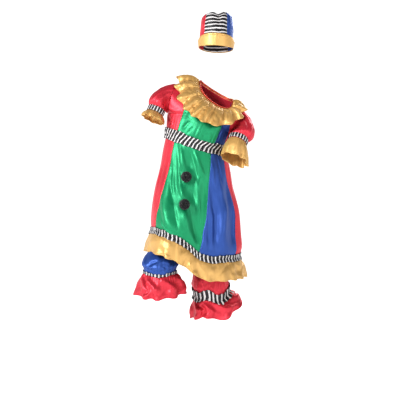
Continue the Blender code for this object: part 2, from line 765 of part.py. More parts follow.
def build_chest_band():
    """The striped band, laid over the empire seam and ruched."""

    def surface(angle, along):
        side = np.sign(along)
        reach = np.abs(along)
        up = bodice(angle, np.where(side > 0, reach, 0.0) / BODICE_LENGTH)
        down = skirt(angle, np.where(side < 0, reach, 0.0) / SKIRT_LENGTH)
        base = np.where((side > 0)[..., None], up, down)
        turn = np.radians(angle)
        ruche = CHEST_BAND_OFF + BAND_RUCHE * np.cos(uneven(angle, CHEST_RUCHES, 0.9))
        return base + stack(ruche * np.sin(turn), -ruche * np.cos(turn), 0.0)

    tube("chest_band", surface, -CHEST_BAND_HALF, CHEST_BAND_HALF, 56, 2, "stripe")


def build_hem():
    """The striped band over the hem seam, and the gold ruffle under it."""

    def band(angle, along):
        high = skirt(angle, 1 - np.clip(along, 0, 1) * HEM_BAND_UP)
        low = hem_ruffle(angle, np.clip(-along, 0, 1) * HEM_BAND_DOWN)
        base = np.where((along > 0)[..., None], high, low)
        turn = np.radians(angle)
        ruche = BAND_OFF + BAND_RUCHE * np.cos(uneven(angle, HEM_RUCHES, 0.9))
        return base + stack(ruche * np.sin(turn), -ruche * np.cos(turn), 0.0)

    tube("hem_band", band, -1, 1, 64, 2, "stripe")
    tube("hem_ruffle", lambda a, t: hem_ruffle(a, 1 - t), 0.0, 0.997, 80, 3, "gold")


def build_neck():
    """The collar and the thin binding round the neck."""
    tube("collar", lambda a, t: collar(a, 1 - t), 0.0, 1.0, 76, 4, "gold", 0.0012)
    angle = np.linspace(-180, 180, 45)[:-1]
    ring = neck_ring(angle)
    tangent = unit(neck_ring(angle + 0.5) - neck_ring(angle - 0.5))
    outward = unit(ring - (NECK_R + NECK_L) / 2)
    outward = unit(outward - (outward * tangent).sum(-1, keepdims=True) * tangent)
    up = np.cross(outward, tangent)
    sides = np.radians(np.arange(0, 360, 90))
    centre = ring + BINDING_LIFT * up
    outside = np.stack(
        [centre + BINDING_RADIUS * (np.cos(s) * outward + np.sin(s) * up) for s in sides]
    )
    faces = quads(len(sides) + 1, len(angle), True) % (len(sides) * len(angle))
    piece = mesh_object("neck_binding", outside.reshape(-1, 3), faces.tolist(), "piping")
    face_outward(piece)


def face_outward(piece):
    """Turns the faces of a closed mesh outward."""
    work = bmesh.new()
    work.from_mesh(piece.data)
    bmesh.ops.recalc_face_normals(work, faces=work.faces[:])
    work.to_mesh(piece.data)
    work.free()


def build_sleeve(side):
    """One puff sleeve with its striped band and gold ruffle."""

    def puff(angle, along):
        return sleeve_puff(side, angle, along)

    def ruffle(angle, along):
        return sleeve_ruffle(side, angle, along)

    def band(angle, along):
        base = sleeve_puff(side, angle, 1 + CUFF_SHARE * along)
        outer, front = arm_frame(SLEEVES[side])
        turn = np.radians(angle)[..., None]
        ruche = (BAND_OFF + BAND_RUCHE * np.cos(uneven(angle, CUFF_RUCHES)))[..., None]
        return base + ruche * (-np.cos(turn) * outer + np.sin(turn) * front)

    for piece in (
        tube("sleeve_" + side, puff, 0.0, 1 + CUFF_SHARE, 22, 8, "red"),
        tube("sleeve_band_" + side, band, 0.06, 1.0, 26, 1, "stripe"),
        tube("sleeve_ruffle_" + side, ruffle, 0.014, 1.0, 36, 3, "gold"),
    ):
        if volume(piece) < 0:
            turn_inside_out(piece)


def volume(piece):
    """The signed volume of a closed mesh."""
    work = bmesh.new()
    work.from_mesh(piece.data)
    found = work.calc_volume(signed=True)
    work.free()
    return found


def turn_inside_out(piece):
    """Reverses every face."""
    work = bmesh.new()
    work.from_mesh(piece.data)
    bmesh.ops.reverse_faces(work, faces=work.faces[:])
    work.to_mesh(piece.data)
    work.free()


def build_bloomers(side, colour):
    """Front and back of one half of the bloomers, with the leg's band and ruffle."""

    def surface(angle, along):
        crowded = 1 - np.clip(1 - along, 0, 1) ** LEG_ROW_CROWDING
        return bloomer(side, angle, np.where(along > 0, crowded, along))

    def ruffle(angle, along):
        return leg_ruffle(side, angle, along)

    def band(angle, along):
        start = LEG_BAND_START[side]
        base = bloomer(side, leg_angle(side, angle), start + (1 - start) * along)
        turn = np.radians(angle)
        ruche = BAND_OFF + BAND_RUCHE * np.cos(uneven(angle, LEG_RUCHES))
        return base + stack(ruche * np.sin(turn), -ruche * np.cos(turn), 0.0)

    pieces = [
        panel("bloomers_front_" + side, surface, constant(0), constant(180), -1, 1.0, 8, 14, colour),
        panel("bloomers_back_" + side, surface, constant(180), constant(360), -1, 1.0, 8, 14, colour),
        tube("leg_band_" + side, band, 0.0, LEG_BAND_END[side], 32, 2, "stripe"),
        tube("leg_ruffle_" + side, ruffle, LEG_RUFFLE_ROOT[side], 1.0, 40, 3, "red"),
    ]
    for piece in pieces:
        if volume(piece) < 0:
            turn_inside_out(piece)


def build_pompoms():
    """Each pompom is a ball of short tufts, flat where it lies on the skirt."""
    for name, (angle, along, clear) in POMPOMS.items():
        at = np.array([[float(angle)]]), np.array([[float(along)]])
        centre = skirt(*at)[0, 0]
        facing = moved_out(skirt, lambda a, t: np.ones(np.shape(a)))(*at)[0, 0] - centre
        facing = facing if facing[1] < 0 else -facing
        work = bmesh.new()
        bmesh.ops.create_icosphere(work, subdivisions=2, radius=POMPOM_RADIUS)
        bmesh.ops.poke(work, faces=work.faces[:], offset=POMPOM_TUFT)
        spin = Vector((0, 0, 1)).rotation_difference(Vector(facing)).to_matrix()
        cloth = skirt(*np.meshgrid(angle + np.linspace(-14, 14, 57), along + np.linspace(-0.1, 0.1, 57)))
        cloth = cloth.reshape(-1, 3)
        for point in work.verts:
            point.co.z = max(point.co.z, -POMPOM_BACK)
            point.co = spin @ point.co + Vector(centre + facing * (POMPOM_BACK + clear))
            under = cloth - np.array(point.co)
            under = under - (under @ facing)[:, None] * facing
            nearest = cloth[np.argmin((under**2).sum(-1))]
            height = (np.array(point.co) - nearest) @ facing
            point.co += Vector(facing * max(0.0, clear * 2 - height))
        bmesh.ops.triangulate(work, faces=work.faces[:])
        piece = mesh_object(name, np.zeros((0, 3)), [], "black")
        work.to_mesh(piece.data)
        work.free()


def build_hat():
    """Four crown panels, the tip and the turned-up brim."""
    seams = [constant(angle) for angle in HAT_SEAMS.values()]
    seams.append(constant(HAT_SEAMS["front_right"] + 360))
    names = ("hat_front", "hat_side_left", "hat_back", "hat_side_right")
    colours = ("stripe", "blue", "stripe", "red")
    for i, (name, colour, columns) in enumerate(zip(names, colours, (9, 6, 6, 5))):
        panel(name, hat_side, seams[i], seams[i + 1], 0, 0.991, columns, 5, colour)
    tube("hat_brim", hat_brim, 0, 1, 32, 2, "gold", 0.002)
    build_tip()


def build_tip():
    """The tip is a closed disc: rings of points around one middle point, on both faces."""
    columns, rings = 26, 3
    angle = np.linspace(-180, 180, columns + 1)[:-1]
    share = np.linspace(0.992, 0.25, rings)
    grid = np.stack([hat_top(angle, np.full(columns, s)) for s in share])
    middle = hat_top(np.zeros(1), np.zeros(1))
    _, _, up = hat_frame()
    outside = np.concatenate([grid.reshape(-1, 3), middle])
    inside = outside - CLOTH * up
    count = len(outside)
    cover = split(quads(rings, columns, True), outside)
    last = (rings - 1) * columns
    ring = np.arange(columns)
    cap = np.stack([last + ring, last + (ring + 1) % columns, np.full(columns, count - 1)], -1)
    edge = np.stack([ring, ring + count, (ring + 1) % columns + count, (ring + 1) % columns], -1)
    faces = cover.tolist() + cap.tolist() + edge.tolist()
    faces += (cover[:, ::-1] + count).tolist() + (cap[:, ::-1] + count).tolist()
    piece = mesh_object("hat_top", np.concatenate([outside, inside]), faces, "stripe")
    face_outward(piece)


def main():
    for item in list(bpy.data.objects):
        bpy.data.objects.remove(item, do_unlink=True)
    bpy.context.scene.collection.children.link(bpy.data.collections.new(NAME))
    build_skirt()
    build_bodice()
    build_chest_band()
    build_hem()
    build_neck()
    for side in SLEEVES:
        build_sleeve(side)
    build_bloomers("right", "blue")
    build_bloomers("left", "red")
    build_pompoms()
    build_hat()


main()
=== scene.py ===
"""Clown costume as worn: a panelled satin dress, bloomers with ruffled legs and a small soft hat.

Metres, +Z up. The origin is the middle of the neck opening and the front faces -Y. Each cloth
piece is a grid of points f(angle, along) with folds, gathers and creases raised on it, and then
its thickness. An angle of 0 is the front and +90 degrees is +X. The rows of a grid run from the
piece's lower edge to its upper one, and a piece's UV map is its cloth, laid flat, in metres.
"""

import bpy
import numpy as np
from bpy.props import FloatProperty, FloatVectorProperty, IntProperty, PointerProperty
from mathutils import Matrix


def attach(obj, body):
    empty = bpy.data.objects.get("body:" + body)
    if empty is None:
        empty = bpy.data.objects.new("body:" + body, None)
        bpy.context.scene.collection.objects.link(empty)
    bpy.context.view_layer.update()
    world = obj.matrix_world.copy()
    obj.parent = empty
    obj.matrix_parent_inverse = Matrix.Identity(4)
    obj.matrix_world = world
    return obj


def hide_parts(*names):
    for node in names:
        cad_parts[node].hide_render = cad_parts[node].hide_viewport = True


bl_info = {
    "name": "Clown Costume",
    "version": (1, 0, 0),
    "blender": (4, 5, 0),
    "location": "View3D > Sidebar > Costume",
    "description": "Satin clown dress, bloomers and hat, worn on no one",
    "category": "Add Mesh",
}

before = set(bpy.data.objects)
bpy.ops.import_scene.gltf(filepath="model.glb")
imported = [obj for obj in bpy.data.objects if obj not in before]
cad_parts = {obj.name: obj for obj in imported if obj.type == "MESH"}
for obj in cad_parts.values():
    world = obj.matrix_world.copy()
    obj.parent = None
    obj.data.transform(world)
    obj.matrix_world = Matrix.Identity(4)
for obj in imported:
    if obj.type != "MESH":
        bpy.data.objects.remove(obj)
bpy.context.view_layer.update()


def named(columns, rows):
    """A table whose columns are looked up by name; the first one is what the others are read at."""
    return dict(zip(columns.split(), np.array(rows, float).T))


# Empire seam under the chest band: its ring is tilted sideways and forward
SEAM_CENTRE = (-0.0907, 0.0, -0.237)
SEAM_ROLL = np.radians(17)
SEAM_PITCH = np.radians(9)

# Shoulder points, neck points and the two drops of the neckline
SHOULDER_R = np.array((-0.1887, 0.0, 0.0466))
SHOULDER_L = np.array((0.1250, 0.0, -0.0784))
NECK_R = np.array((-0.0735, 0.0, 0.0613))
NECK_L = np.array((0.0823, 0.0, -0.0343))
NECK_FRONT = np.array((-0.006, -0.062, -0.073))
NECK_BACK = np.array((-0.002, 0.050, -0.004))
NECK_SQUARE = 0.65
NECK_SHARE = 0.58
DOWN_THE_NECK = np.array((-0.37, 0.0, -0.93))

# Bodice: armholes, and its roundness over the chest, the back and under the right arm
ARMPIT = 0.42
ARMHOLE_HALF = 0.052
CHEST_ROUND = 0.030
BACK_ROUND = 0.020
SIDE_ROUND = 0.016

# Bands: their sizes, how far they stand off the cloth, and the cloth that they cover
CHEST_BAND_HALF = 0.021
CUFF_TALL = 0.027
CUFF_SHARE = 0.15
BAND_OFF = 0.0043
CHEST_BAND_OFF = 0.0040
BODICE_LENGTH = 0.16
SKIRT_LENGTH = 0.46
HEM_BAND_UP = 0.036
HEM_BAND_DOWN = 0.17
LEG_BAND_UP = {"right": 0.024, "left": 0.055}
LEG_BAND_DOWN = {"right": 0.020, "left": 0.15}
LEG_BAND_FRILL = {"right": 0.0008, "left": 0.0030}
LEG_BAND_WAVE = 0.0030
LEG_BAND_STRIPE = {"right": 0.9, "left": 1.25}
LEG_BAND_LIGHT = 0.38
BAND_LIGHT = 0.33
BAND_SLANT = 0.1
BAND_SWELL = 0.0012
BAND_PLEAT = 0.0012
BAND_EDGE_PLEAT = 0.0009
BAND_EDGE_WAVE = 0.0022
CHEST_BAND_SLANT = -0.5
CHEST_BAND_PLEATS = 96
CHEST_BAND_BULGE = 0.006
BULGE_ANGLE = -84
BULGE_SPREAD = 10
HEM_BAND_PLEATS = 110
LEG_BAND_PLEATS = 34

# Ruffles: their waves, and the gathers at their roots
HEM_RUFFLE_DROP = 0.100
HEM_RUFFLE_FLARE = 0.034
HEM_RUFFLE_BELLY = 0.007
HEM_WAVES = 22
HEM_WAVE_DEPTH = 0.0085
COLLAR_WAVES = 19
COLLAR_WAVE_DEPTH = 0.0078
COLLAR_SCALLOP = 0.0120
COLLAR_BELLY = 0.0075
COLLAR_ROOT_REACH = 0.0046
COLLAR_ROOT_LIFT = 0.0044
BINDING_RADIUS = 0.0027
BINDING_TALL = 1.7
BINDING_LIFT = 0.0062
SLEEVE_WAVES = 8
SLEEVE_WAVE_DEPTH = 0.0085
SLEEVE_RUFFLE_BELLY = 0.006
LEG_WAVES = 9
LEG_WAVE_DEPTH = 0.008
LEG_RUFFLE_ROOT = {"right": 0.004, "left": 0.02}
PUFF_GATHERS = 8
PUFF_GATHER_DEPTH = 0.0026

# Small gathers of each place: their depth, how many there are round the ring, and their unevenness
GATHERS = {
    "skirt_top": (0.0030, 44, 0.4),
    "skirt_hem": (0.0028, 50, 1.4),
    "bodice": (0.0036, 58, 2.2),
    "hem_root": (0.0016, 64, 0.8),
    "hem_body": (0.0060, 12, 2.6),
    "collar_root": (0.0020, 70, 0.2),
    "collar_body": (0.0020, 34, 1.9),
    "sleeve_cuff": (0.0040, 21, 0.0),
    "sleeve_top": (0.0032, 19, 1.0),
    "sleeve_body": (0.0022, 9, 2.0),
    "sleeve_band": (0.0011, 34, 0.0),
    "sleeve_ruffle": (0.0018, 26, 0.0),
    "leg": (0.0030, 24, 0.0),
    "leg_band": (0.0010, 57, 0.0),
    "leg_band_edge": (0.0012, 40, 1.0),
    "leg_ruffle": (0.0018, 40, 0.0),
    "hat_side": (0.0016, 7, 0.5),
    "hat_edge": (0.0011, 17, 1.4),
    "hat_brim": (0.0012, 13, 0.2),
    "hat_top": (0.0014, 9, 0.9),
}

# Soft dents of each cloth: their depth, their size and the seed that places them
DENTS = {
    "skirt": (0.0009, 0.10, 5),
    "bodice": (0.0009, 0.06, 11),
    "hem_ruffle": (0.0038, 0.075, 21),
    "collar": (0.0024, 0.038, 31),
    "leg_ruffle": (0.0008, 0.06, 41),
    "sleeve": (0.0016, 0.05, 51),
    "sleeve_ruffle": (0.0016, 0.04, 61),
    "bloomers": (0.0020, 0.05, 71),
}

# Columns of each panel or ring, and rows from its lower to its upper edge, at a fineness of 1
SKIRT_GRID = ((26, 100, 64, 26, 128), 150)
BODICE_FRONT_GRID = ((30, 76, 30, 30), 84)
BODICE_BACK_GRID = ((110,), 84)
HAT_GRID = ((60, 44, 50, 44), 54)
BLOOMERS_GRID = (76, 60, 50)
RING_GRIDS = {
    "chest_band": (640, 13),
    "hem_band": (720, 11),
    "hem_ruffle": (640, 36),
    "collar": (560, 40),
    "neck_binding": (180, 13),
    "sleeve": (150, 64),
    "sleeve_band": (210, 9),
    "sleeve_ruffle": (260, 30),
    "leg_band": (360, 16),
    "leg_ruffle": (320, 44),
    "hat_brim": (220, 16),
    "hat_top": (150, 27),
}

# Mean radius and length of the skirt, the bodice and a leg, in which their creases are measured
SKIRT_REACH = (0.19, 0.50)
BODICE_REACH = (0.16, 0.22)
LEG_REACH = (0.085, 0.30)

# Skirt from the empire seam (0) to the hem seam (1)
SKIRT = named("along x half_width front back", (
    (0.00, -0.0907, 0.152, 0.125, 0.115),
    (0.12, -0.0902, 0.165, 0.138, 0.126),
    (0.35, -0.0916, 0.183, 0.156, 0.145),
    (0.60, -0.0920, 0.2078, 0.176, 0.160),
    (0.80, -0.0941, 0.218, 0.190, 0.170),
    (0.93, -0.0921, 0.222, 0.196, 0.175),
    (1.00, -0.0960, 0.2156, 0.187, 0.166),
))

# Height of the hem seam: the raised knee lifts it at -X
HEM = named("angle height", (
    (-180, -0.732),
    (-135, -0.695),
    (-90, -0.668),
    (-45, -0.674),
    (-27, -0.697),
    (-14, -0.722),
    (-5, -0.752),
    (3, -0.779),
    (12, -0.795),
    (41, -0.800),
    (90, -0.789),
    (135, -0.765),
    (180, -0.732),
))
KNEE_PUSH = 0.062
KNEE_ANGLE = -40
KNEE_SPREAD = 34

# Main folds of the skirt: where each starts and ends, its width, and its depth (a ridge is positive)
SKIRT_FOLDS = named("angle_top angle_hem width depth start end", (
    (-42, -16, 4.5, -0.006, 0.00, 0.80),
    (-30, -9, 5.0, 0.007, 0.00, 0.95),
    (-16, 5, 6.5, -0.011, 0.00, 1.03),
    (-2, 12, 5.0, 0.007, 0.10, 1.03),
    (-54, -21, 5.5, -0.008, 0.15, 1.03),
    (-72, -33, 6.0, 0.007, 0.55, 1.03),
    (-84, -44, 5.0, -0.007, 0.60, 1.03),
    (12, 15, 5.0, -0.007, 0.20, 1.03),
    (24, 26, 5.0, -0.010, 0.25, 1.03),
    (40, 37, 7.5, 0.011, 0.15, 1.03),
    (58, 52, 6.0, -0.007, 0.20, 1.03),
    (82, 76, 8.0, 0.008, 0.30, 1.03),
    (104, 101, 8.0, -0.011, 0.15, 1.03),
    (124, 123, 8.0, 0.010, 0.10, 1.03),
    (142, 145, 7.0, -0.012, 0.05, 1.03),
    (163, 166, 8.0, 0.009, 0.15, 1.03),
    (-178, -176, 8.0, -0.013, 0.05, 1.03),
    (-157, -154, 7.0, 0.009, 0.20, 1.03),
    (-138, -136, 8.0, -0.011, 0.10, 1.03),
    (-114, -112, 8.0, 0.009, 0.25, 1.03),
    (-94, -92, 6.0, -0.007, 0.20, 1.03),
))

# Finer creases of the skirt, from one point to another, with a sideways bow, a width and a depth
SKIRT_CREASES = named("angle0 along0 angle1 along1 bow width depth", (
    (-40, 0.02, -18, 0.50, 0.006, 0.0070, -0.0048),
    (-31, 0.03, -14, 0.46, 0.006, 0.0100, 0.0046),
    (-15, 0.02, 5, 0.40, 0.006, 0.0150, -0.0080),
    (5, 0.32, 4, 0.95, 0.012, 0.0150, -0.0085),
    (-2, 0.06, 17, 0.32, -0.006, 0.0130, 0.0064),
    (-43, 0.42, -22, 0.93, 0.006, 0.0105, -0.0062),
    (-41, 0.26, -24, 0.88, -0.006, 0.0100, 0.0056),
    (-52, 0.84, -15, 0.93, -0.042, 0.0085, 0.0072),
    (-48, 0.91, -20, 0.96, -0.022, 0.0065, -0.0040),
    (-22, 0.44, -8, 0.92, 0.003, 0.0110, 0.0062),
    (-10, 0.56, 1, 0.95, 0.006, 0.0100, -0.0066),
    (13, 0.42, 12, 0.96, 0.003, 0.0090, 0.0050),
    (27, 0.08, 28, 0.42, 0.002, 0.0090, 0.0040),
    (29, 0.48, 27, 0.88, 0.002, 0.0085, -0.0056),
    (23, 0.52, 20, 0.90, 0.000, 0.0065, 0.0042),
    (48, 0.42, 32, 0.93, -0.010, 0.0160, 0.0076),
    (62, 0.48, 53, 0.90, 0.004, 0.0110, -0.0056),
    (40, 0.03, 43, 0.36, 0.002, 0.0080, -0.0034),
    (-62, 0.06, -70, 0.60, 0.004, 0.0070, -0.0030),
    (-75, 0.30, -68, 0.88, 0.006, 0.0080, 0.0036),
    (74, 0.08, 70, 0.46, -0.003, 0.0060, -0.0034),
    (88, 0.30, 90, 0.92, 0.005, 0.0080, 0.0040),
    (112, 0.05, 116, 0.52, 0.004, 0.0065, -0.0040),
    (131, 0.24, 133, 0.90, -0.006, 0.0060, 0.0042),
    (152, 0.04, 156, 0.44, 0.003, 0.0050, -0.0044),
    (171, 0.30, 174, 0.96, 0.005, 0.0060, -0.0046),
    (190, 0.04, 193, 0.60, -0.004, 0.0070, 0.0042),
    (208, 0.20, 213, 0.84, 0.005, 0.0055, -0.0042),
    (229, 0.04, 232, 0.50, -0.003, 0.0065, 0.0038),
    (241, 0.36, 243, 0.95, 0.004, 0.0060, -0.0040),
    (256, 0.10, 262, 0.70, -0.004, 0.0070, 0.0036),
))

# Creases of the bodice: drag lines from the chest band and from the armholes
BODICE_CREASES = named("angle0 along0 angle1 along1 bow width depth", (
    (-36, 0.16, -28, 0.42, 0.004, 0.0060, 0.0030),
    (-22, 0.14, -18, 0.34, -0.003, 0.0050, -0.0032),
    (-8, 0.14, -6, 0.36, 0.003, 0.0055, 0.0028),
    (6, 0.14, 4, 0.30, 0.002, 0.0050, -0.0030),
    (18, 0.15, 16, 0.38, -0.003, 0.0060, 0.0030),
    (36, 0.16, 30, 0.46, 0.003, 0.0060, -0.0030),
    (-88, 0.44, -52, 0.26, 0.010, 0.0075, -0.0042),
    (-88, 0.56, -46, 0.44, 0.008, 0.0075, 0.0036),
    (-60, 0.14, -62, 0.36, 0.003, 0.0055, 0.0028),
    (88, 0.46, 58, 0.28, -0.008, 0.0070, -0.0036),
    (88, 0.62, 54, 0.52, -0.006, 0.0070, 0.0030),
    (97, 0.48, 130, 0.30, 0.010, 0.0080, -0.0040),
    (120, 0.14, 124, 0.50, 0.004, 0.0065, 0.0034),
    (146, 0.14, 150, 0.40, -0.004, 0.0060, -0.0034),
    (168, 0.14, 170, 0.62, 0.005, 0.0070, 0.0032),
    (196, 0.14, 192, 0.46, -0.004, 0.0060, -0.0034),
    (222, 0.14, 218, 0.52, 0.004, 0.0065, 0.0034),
    (263, 0.48, 232, 0.30, -0.010, 0.0080, -0.0040),
))

# Creases of the bloomers' legs; here 0 degrees is the inseam and 90 the front of the right leg
LEG_CREASES = {
    "right": named("angle0 along0 angle1 along1 bow width depth", (
        (50, 0.86, 92, 0.80, 0.010, 0.0060, 0.0050),
        (96, 0.78, 132, 0.90, 0.008, 0.0060, -0.0050),
        (62, 0.94, 80, 0.84, 0.004, 0.0045, -0.0044),
        (104, 0.95, 118, 0.84, -0.004, 0.0050, 0.0046),
        (30, 0.92, 46, 0.74, 0.004, 0.0060, 0.0042),
        (140, 0.94, 150, 0.76, -0.004, 0.0060, 0.0044),
        (176, 0.94, 184, 0.72, 0.004, 0.0060, -0.0046),
        (214, 0.93, 222, 0.70, 0.004, 0.0060, 0.0044),
        (252, 0.94, 262, 0.74, -0.004, 0.0060, -0.0042),
        (300, 0.93, 312, 0.72, 0.004, 0.0060, 0.0044),
    )),
    "left": named("angle0 along0 angle1 along1 bow width depth", (
        (48, 0.93, 60, 0.74, 0.004, 0.0050, 0.0040),
        (74, 0.94, 82, 0.70, -0.003, 0.0050, -0.0044),
        (94, 0.93, 98, 0.72, 0.003, 0.0050, 0.0040),
        (112, 0.94, 120, 0.70, 0.003, 0.0055, -0.0042),
        (138, 0.93, 146, 0.72, -0.004, 0.0055, 0.0042),
        (176, 0.94, 182, 0.70, 0.004, 0.0060, -0.0044),
        (216, 0.93, 224, 0.72, 0.004, 0.0060, 0.0044),
        (262, 0.94, 270, 0.72, -0.004, 0.0060, -0.0042),
        (306, 0.93, 318, 0.70, 0.004, 0.0060, 0.0042),
    )),
}

# Angles of the seams between the panels
SKIRT_SEAMS = named("along right_side centre left_side", (
    (0.00, -45, 29, 60),
    (0.24, -47, 22, 59),
    (0.42, -49, 18, 66),
    (0.54, -51, 15.5, 67),
    (0.70, -55, 12, 63.5),
    (0.85, -59, 7.5, 61.5),
    (1.00, -62, 3.0, 61),
))
BODICE_SEAMS = named("along right_side centre left_side", (
    (0.00, -44, 30, 60),
    (0.50, -42, 31, 56),
    (1.00, -38, 20, 42),
))

# Collar: its depth, its bend away from the neck's plane at the root and at the edge
COLLAR = named("angle depth bend_root bend_edge", (
    (-180, 0.100, -6, 44),
    (-135, 0.102, -4, 50),
    (-90, 0.108, 3, 46),
    (-68, 0.114, -5, 40),
    (-45, 0.130, -10, 35),
    (-22, 0.140, -14, 30),
    (0, 0.140, -14, 22),
    (22, 0.131, -17, 16),
    (45, 0.098, -25, 9),
    (68, 0.070, -29, 7),
    (90, 0.064, -26, 30),
    (135, 0.096, -20, 42),
    (180, 0.100, -6, 44),
))

# Sleeves: the cuff ring, the ruffle's edge ring and the puff
SLEEVES = {
    "right": {
        "cuff": (-0.2815, -0.046, -0.0740),
        "arm": (-0.38, -0.20, -0.90),
        "cuff_radius": 0.039,
        "edge": (-0.3000, -0.066, -0.1320),
        "edge_wide": 0.054,
        "edge_deep": 0.056,
        "away": (-0.88, -0.30, 0.02),
        "puff": 0.040,
    },
    "left": {
        "cuff": (0.1130, -0.106, -0.2220),
        "arm": (-0.337, -0.462, -0.82),
        "cuff_radius": 0.044,
        "edge": (0.0885, -0.148, -0.3300),
        "edge_wide": 0.066,
        "edge_deep": 0.050,
        "away": (0.80, -0.50, -0.22),
        "puff": 0.060,
    },
}

# Bloomers: rings of each leg from the crotch to the leg band
WAIST = (-0.0915, 0.0, -0.390)
PELVIS_HALF_WIDTH = 0.145
PELVIS_HALF_DEPTH = 0.108
PELVIS_BLEND = 0.45
LEG_COLUMNS = "along x y z half_width half_depth"
LEGS = {
    "right": named(LEG_COLUMNS, (
        (0.00, -0.1790, -0.020, -0.640, 0.0840, 0.100),
        (0.35, -0.2080, -0.060, -0.700, 0.0780, 0.084),
        (0.60, -0.2460, -0.096, -0.756, 0.0700, 0.074),
        (0.78, -0.2600, -0.124, -0.802, 0.0850, 0.087),
        (0.88, -0.2630, -0.138, -0.828, 0.0870, 0.089),
        (0.94, -0.2630, -0.142, -0.840, 0.0800, 0.082),
        (1.00, -0.2630, -0.146, -0.864, 0.0750, 0.077),
    )),
    "left": named(LEG_COLUMNS, (
        (0.00, -0.0060, 0.000, -0.640, 0.0840, 0.106),
        (0.35, -0.0080, 0.005, -0.740, 0.0820, 0.096),
        (0.60, -0.0220, 0.005, -0.850, 0.0800, 0.086),
        (0.78, -0.0270, 0.000, -0.910, 0.0860, 0.088),
        (0.88, -0.0250, 0.000, -0.936, 0.0900, 0.092),
        (0.94, -0.0210, 0.000, -0.948, 0.0880, 0.090),
        (1.00, -0.0180, 0.000, -0.982, 0.0850, 0.087),
    )),
}
LEG_EDGE_COLUMNS = "angle drop reach band_sag"
LEG_EDGES = {
    "right": named(LEG_EDGE_COLUMNS, (
        (-180, 0.108, 0.034, 0.000),
        (-90, 0.102, 0.046, 0.004),
        (-45, 0.108, 0.038, -0.004),
        (0, 0.104, 0.034, -0.014),
        (45, 0.104, 0.036, -0.004),
        (90, 0.094, 0.046, 0.002),
        (180, 0.108, 0.034, 0.000),
    )),
    "left": named(LEG_EDGE_COLUMNS, (
        (-180, 0.100, 0.036, 0.000),
        (-90, 0.118, 0.014, 0.004),
        (-42, 0.094, 0.026, -0.016),
        (-8, 0.098, 0.030, -0.003),
        (22, 0.086, 0.040, -0.026),
        (60, 0.070, 0.056, -0.002),
        (90, 0.047, 0.062, 0.020),
        (180, 0.100, 0.036, 0.000),
    )),
}

# Pompoms on the skirt's green front, as (angle, along)
POMPOMS = {"pompom_upper": (-14.5, 0.355), "pompom_lower": (-15.5, 0.635)}
POMPOM_RADIUS = 0.026
POMPOM_CORE = 0.012
POMPOM_BACK = 0.015

# Hat
HAT_BASE = (0.0045, -0.015, 0.226)
HAT_ROLL = np.radians(3)
HAT_PITCH = np.radians(-5)
HAT = named("along half_width half_depth height", (
    (0.00, 0.083, 0.092, 0.000),
    (0.35, 0.082, 0.090, 0.056),
    (0.70, 0.079, 0.086, 0.113),
    (0.92, 0.073, 0.079, 0.149),
    (1.00, 0.064, 0.070, 0.158),
))
HAT_SEAMS = {"front_right": -48, "front_left": 37, "back_left": 132, "back_right": 228}
HAT_DENT = 0.016
HAT_SINK = 0.010
BRIM_THICKNESS = 0.002
BRIM_FRONT = 0.061
BRIM_BACK = 0.024
BRIM_ROOT_OFF = 0.0027
BRIM_EDGE_OFF = 0.0070

# Camera: straight at the front, level with the middle of the whole figure
CAMERA_PLACE = (-0.0735, -4.5, -0.5194)
CAMERA_LENS = 82.65

# Studio: the floor, which glows more with distance, the bright horizon, and where each light stands
FLOOR_HEIGHT = -1.46
FLOOR_HALF = 15.0
FLOOR_GLOW = {"From_Min": 0.5, "From_Max": 5.0, "To_Min": 0.30, "To_Max": 0.85}
HORIZON_FADE = {"From_Min": 0.22, "From_Max": 0.45, "To_Min": 1.0}
LIGHTS = {
    "key_light": ((-3.1, -3.1, 1.8), 1.5),
    "fill_light": ((2.8, -3.2, 0.6), 2.2),
    "back_light": ((1.8, 3.2, 2.0), 2.0),
}


def unit(vectors):
    """Vectors scaled to a length of one."""
    vectors = np.asarray(vectors, float)
    return vectors / np.linalg.norm(vectors, axis=-1, keepdims=True)


def curve(table, column, at):
    """A smooth curve through one column of a table, read at the first column's values."""
    keys, values = next(iter(table.values())), table[column]
    slopes = np.gradient(values, keys)
    at = np.clip(at, keys[0], keys[-1])
    i = np.clip(np.searchsorted(keys, at) - 1, 0, len(keys) - 2)
    width = keys[i + 1] - keys[i]
    t = (at - keys[i]) / width
    start = (1 + 2 * t) * (1 - t) ** 2 * values[i] + t * (1 - t) ** 2 * width * slopes[i]
    end = t**2 * (3 - 2 * t) * values[i + 1] + t**2 * (t - 1) * width * slopes[i + 1]
    return start + end


def wrap(angle):
    """An angle in degrees brought between -180 and 180."""
    return (np.asarray(angle, float) + 180) % 360 - 180


def ease(x):
    """A soft step from 0 to 1."""
    x = np.clip(x, 0, 1)
    return x * x * (3 - 2 * x)


def stack(x, y, z):
    """Three arrays joined into points."""
    return np.stack(np.broadcast_arrays(x, y, z), axis=-1)


def uneven(angle, waves, swing=0.55):
    """The phase of waves whose widths vary around a ring."""
    turn = np.radians(angle)
    return waves * turn + swing * (np.sin(3 * turn + 0.7) + 0.8 * np.sin(5 * turn + 2.1))


def gathers(angle, count, kind=0.0):
    """Uneven small pleats, -1 to 1: a wave whose phase and height wander round the ring."""
    turn = np.radians(angle)
    drift = 1.3 * np.sin(4 * turn + kind) + 1.1 * np.sin(7 * turn + 2 * kind)
    drift = drift + 0.8 * np.sin(13 * turn + 3 * kind)
    height = 0.68 + 0.32 * np.sin(9 * turn + 1.7 * kind + np.sin(5 * turn))
    return height * np.cos(count * turn + drift)


